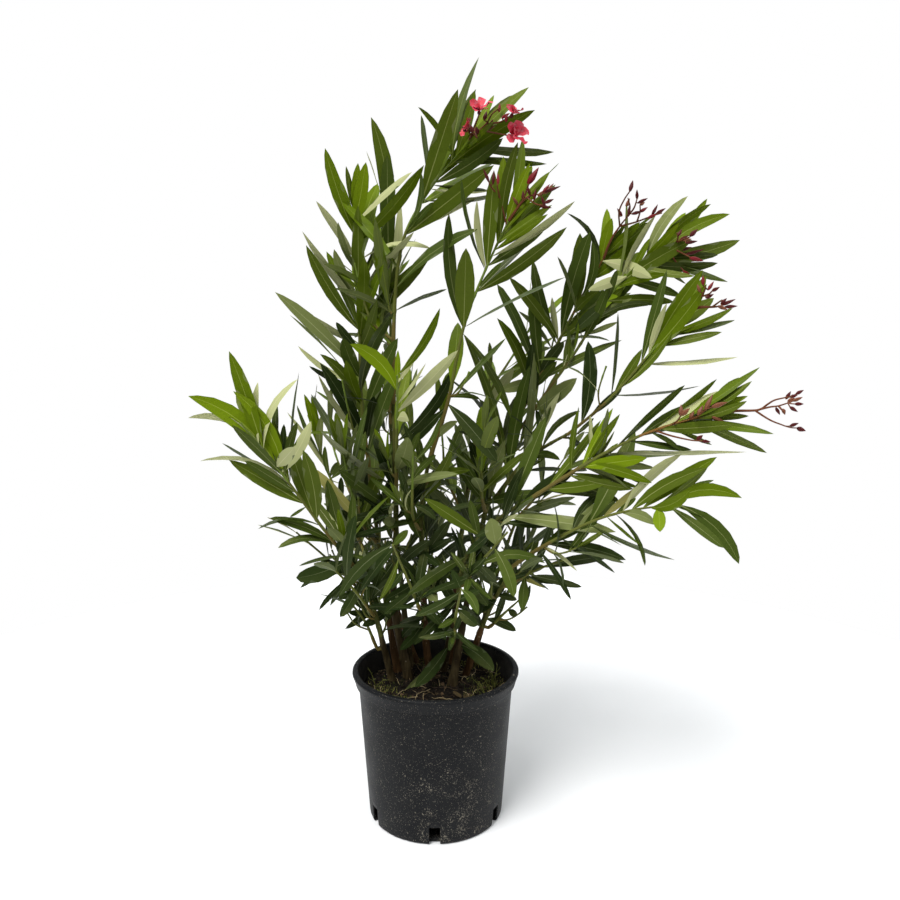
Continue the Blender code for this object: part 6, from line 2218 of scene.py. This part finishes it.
@dataclass
class Studio:
    """A plain pale floor, soft light and the camera."""

    sensor: float = 36.0  # in millimetres
    far_end: float = 60.0  # of what the camera sees
    floor_radii: tuple[float, ...] = (1.25, 0.6, 0.2)
    floor_sides: int = 64

    def build(self) -> None:
        """Floor, sky, lamps and camera."""
        self.build_floor()
        self.build_sky()
        self.add_light("sun_soft", "SUN", (-0.9, -1.2, 2.2), (0, 0, 0), energy=2.6, angle=math.radians(30))
        self.add_light("lamp_fill", "AREA", (2.2, -1.6, 1.6), (0, 0, 0.5), energy=12, size=1.8)
        data = bpy.data.cameras.new("camera")
        data.sensor_width, data.clip_end = self.sensor, self.far_end
        data.lens = self.sensor * SIGHT.focal / (2 * SIGHT.middle)
        camera = bpy.data.objects.new("camera", data)
        camera.location = SIGHT.place
        camera.rotation_euler = (math.pi / 2 - SIGHT.drop, 0, 0)
        bpy.context.scene.collection.objects.link(camera)
        bpy.context.scene.camera = camera
        bpy.context.scene.view_settings.view_transform = "Standard"

    def build_floor(self) -> None:
        """A round pale floor that the pot stands on."""
        flat = np.array(self.floor_radii)[:, None, None] * circle(self.floor_sides)
        rings = np.concatenate([flat, np.full((*flat.shape[:2], 1), -0.0005)], 2)
        low = np.array([[0, 0, -0.02]])
        floor = add_piece("floor", skin(rings[None], low, rings[-1:].mean(1)), [self.floor_finish()], 30)
        floor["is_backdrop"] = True

    def floor_finish(self) -> bpy.types.Material:
        """Matt off-white with a trace of unevenness.

        Returns:
            The floor's material.
        """
        paint = Paint("floor_matt")
        tone = paint.mix(paint.noise(0.4, 2.0), (0.90, 0.90, 0.90), (0.93, 0.93, 0.93))
        paint.wear("Base Color", tone)
        paint.shade(Roughness=0.9, Specular_IOR_Level=0.1)
        return paint.material

    def build_sky(self) -> None:
        """A sky that shines most from overhead and hardly from below, and is plain white to the eye."""
        world = bpy.data.worlds.new("sky")
        world.use_nodes = True
        tree = world.node_tree
        shade = tree.nodes["Background"]
        seen = tree.nodes.new("ShaderNodeBackground")
        path, mix = tree.nodes.new("ShaderNodeLightPath"), tree.nodes.new("ShaderNodeMixShader")
        way = tree.nodes.new("ShaderNodeSeparateXYZ")
        tree.links.new(tree.nodes.new("ShaderNodeTexCoord").outputs["Generated"], way.inputs[0])
        height = tree.nodes.new("ShaderNodeMapRange")
        tree.links.new(way.outputs["Z"], height.inputs["Value"])
        for name, value in (("From Min", -0.15), ("From Max", 0.85), ("To Min", 0.10), ("To Max", 0.95)):
            height.inputs[name].default_value = value
        tree.links.new(height.outputs["Result"], shade.inputs["Strength"])
        shade.inputs["Color"].default_value = (0.95, 0.98, 1.0, 1)
        seen.inputs["Color"].default_value = (1, 1, 1, 1)
        seen.inputs["Strength"].default_value = 1.0
        tree.links.new(path.outputs["Is Camera Ray"], mix.inputs[0])
        tree.links.new(shade.outputs[0], mix.inputs[1])
        tree.links.new(seen.outputs[0], mix.inputs[2])
        tree.links.new(mix.outputs[0], tree.nodes["World Output"].inputs["Surface"])
        bpy.context.scene.world = world

    def add_light(self, name: str, kind: str, place: Place, target: Place, **settings: float) -> None:
        """One light that faces a target.

        Args:
            name: Its name.
            kind: SUN or AREA.
            place: Where it stands.
            target: The point that it faces.
            settings: Its energy and its breadth.
        """
        data = bpy.data.lights.new(name, kind)
        for setting, value in settings.items():
            setattr(data, setting, value)
        light = bpy.data.objects.new(name, data)
        light.location = place
        light.rotation_euler = (Vector(target) - Vector(place)).to_track_quat("-Z", "Y").to_euler()
        bpy.context.scene.collection.objects.link(light)


def write_sizes() -> None:
    boxes = {"cad": CAD_BOX, "visual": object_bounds()}
    {name: [list(corner) for corner in box] for name, box in boxes.items()}


def main() -> None:
    """Builds the plant, then the studio."""
    logging.basicConfig(level=logging.INFO, format="%(name)s %(message)s")
    growth = Growth()
    growth.grow_limbs()
    pot = Pot()
    pot.build()
    feet = np.array([cane.way[0][:2] for cane in CANES if not cane.parent])
    Compost(feet, pot).build()
    Canes(growth).build()
    foliage = Foliage(growth)
    foliage.grow()
    foliage.build()
    Flowers(foliage).build()
    Studio().build()
    write_sizes()


if __name__ == "__main__":
    main()
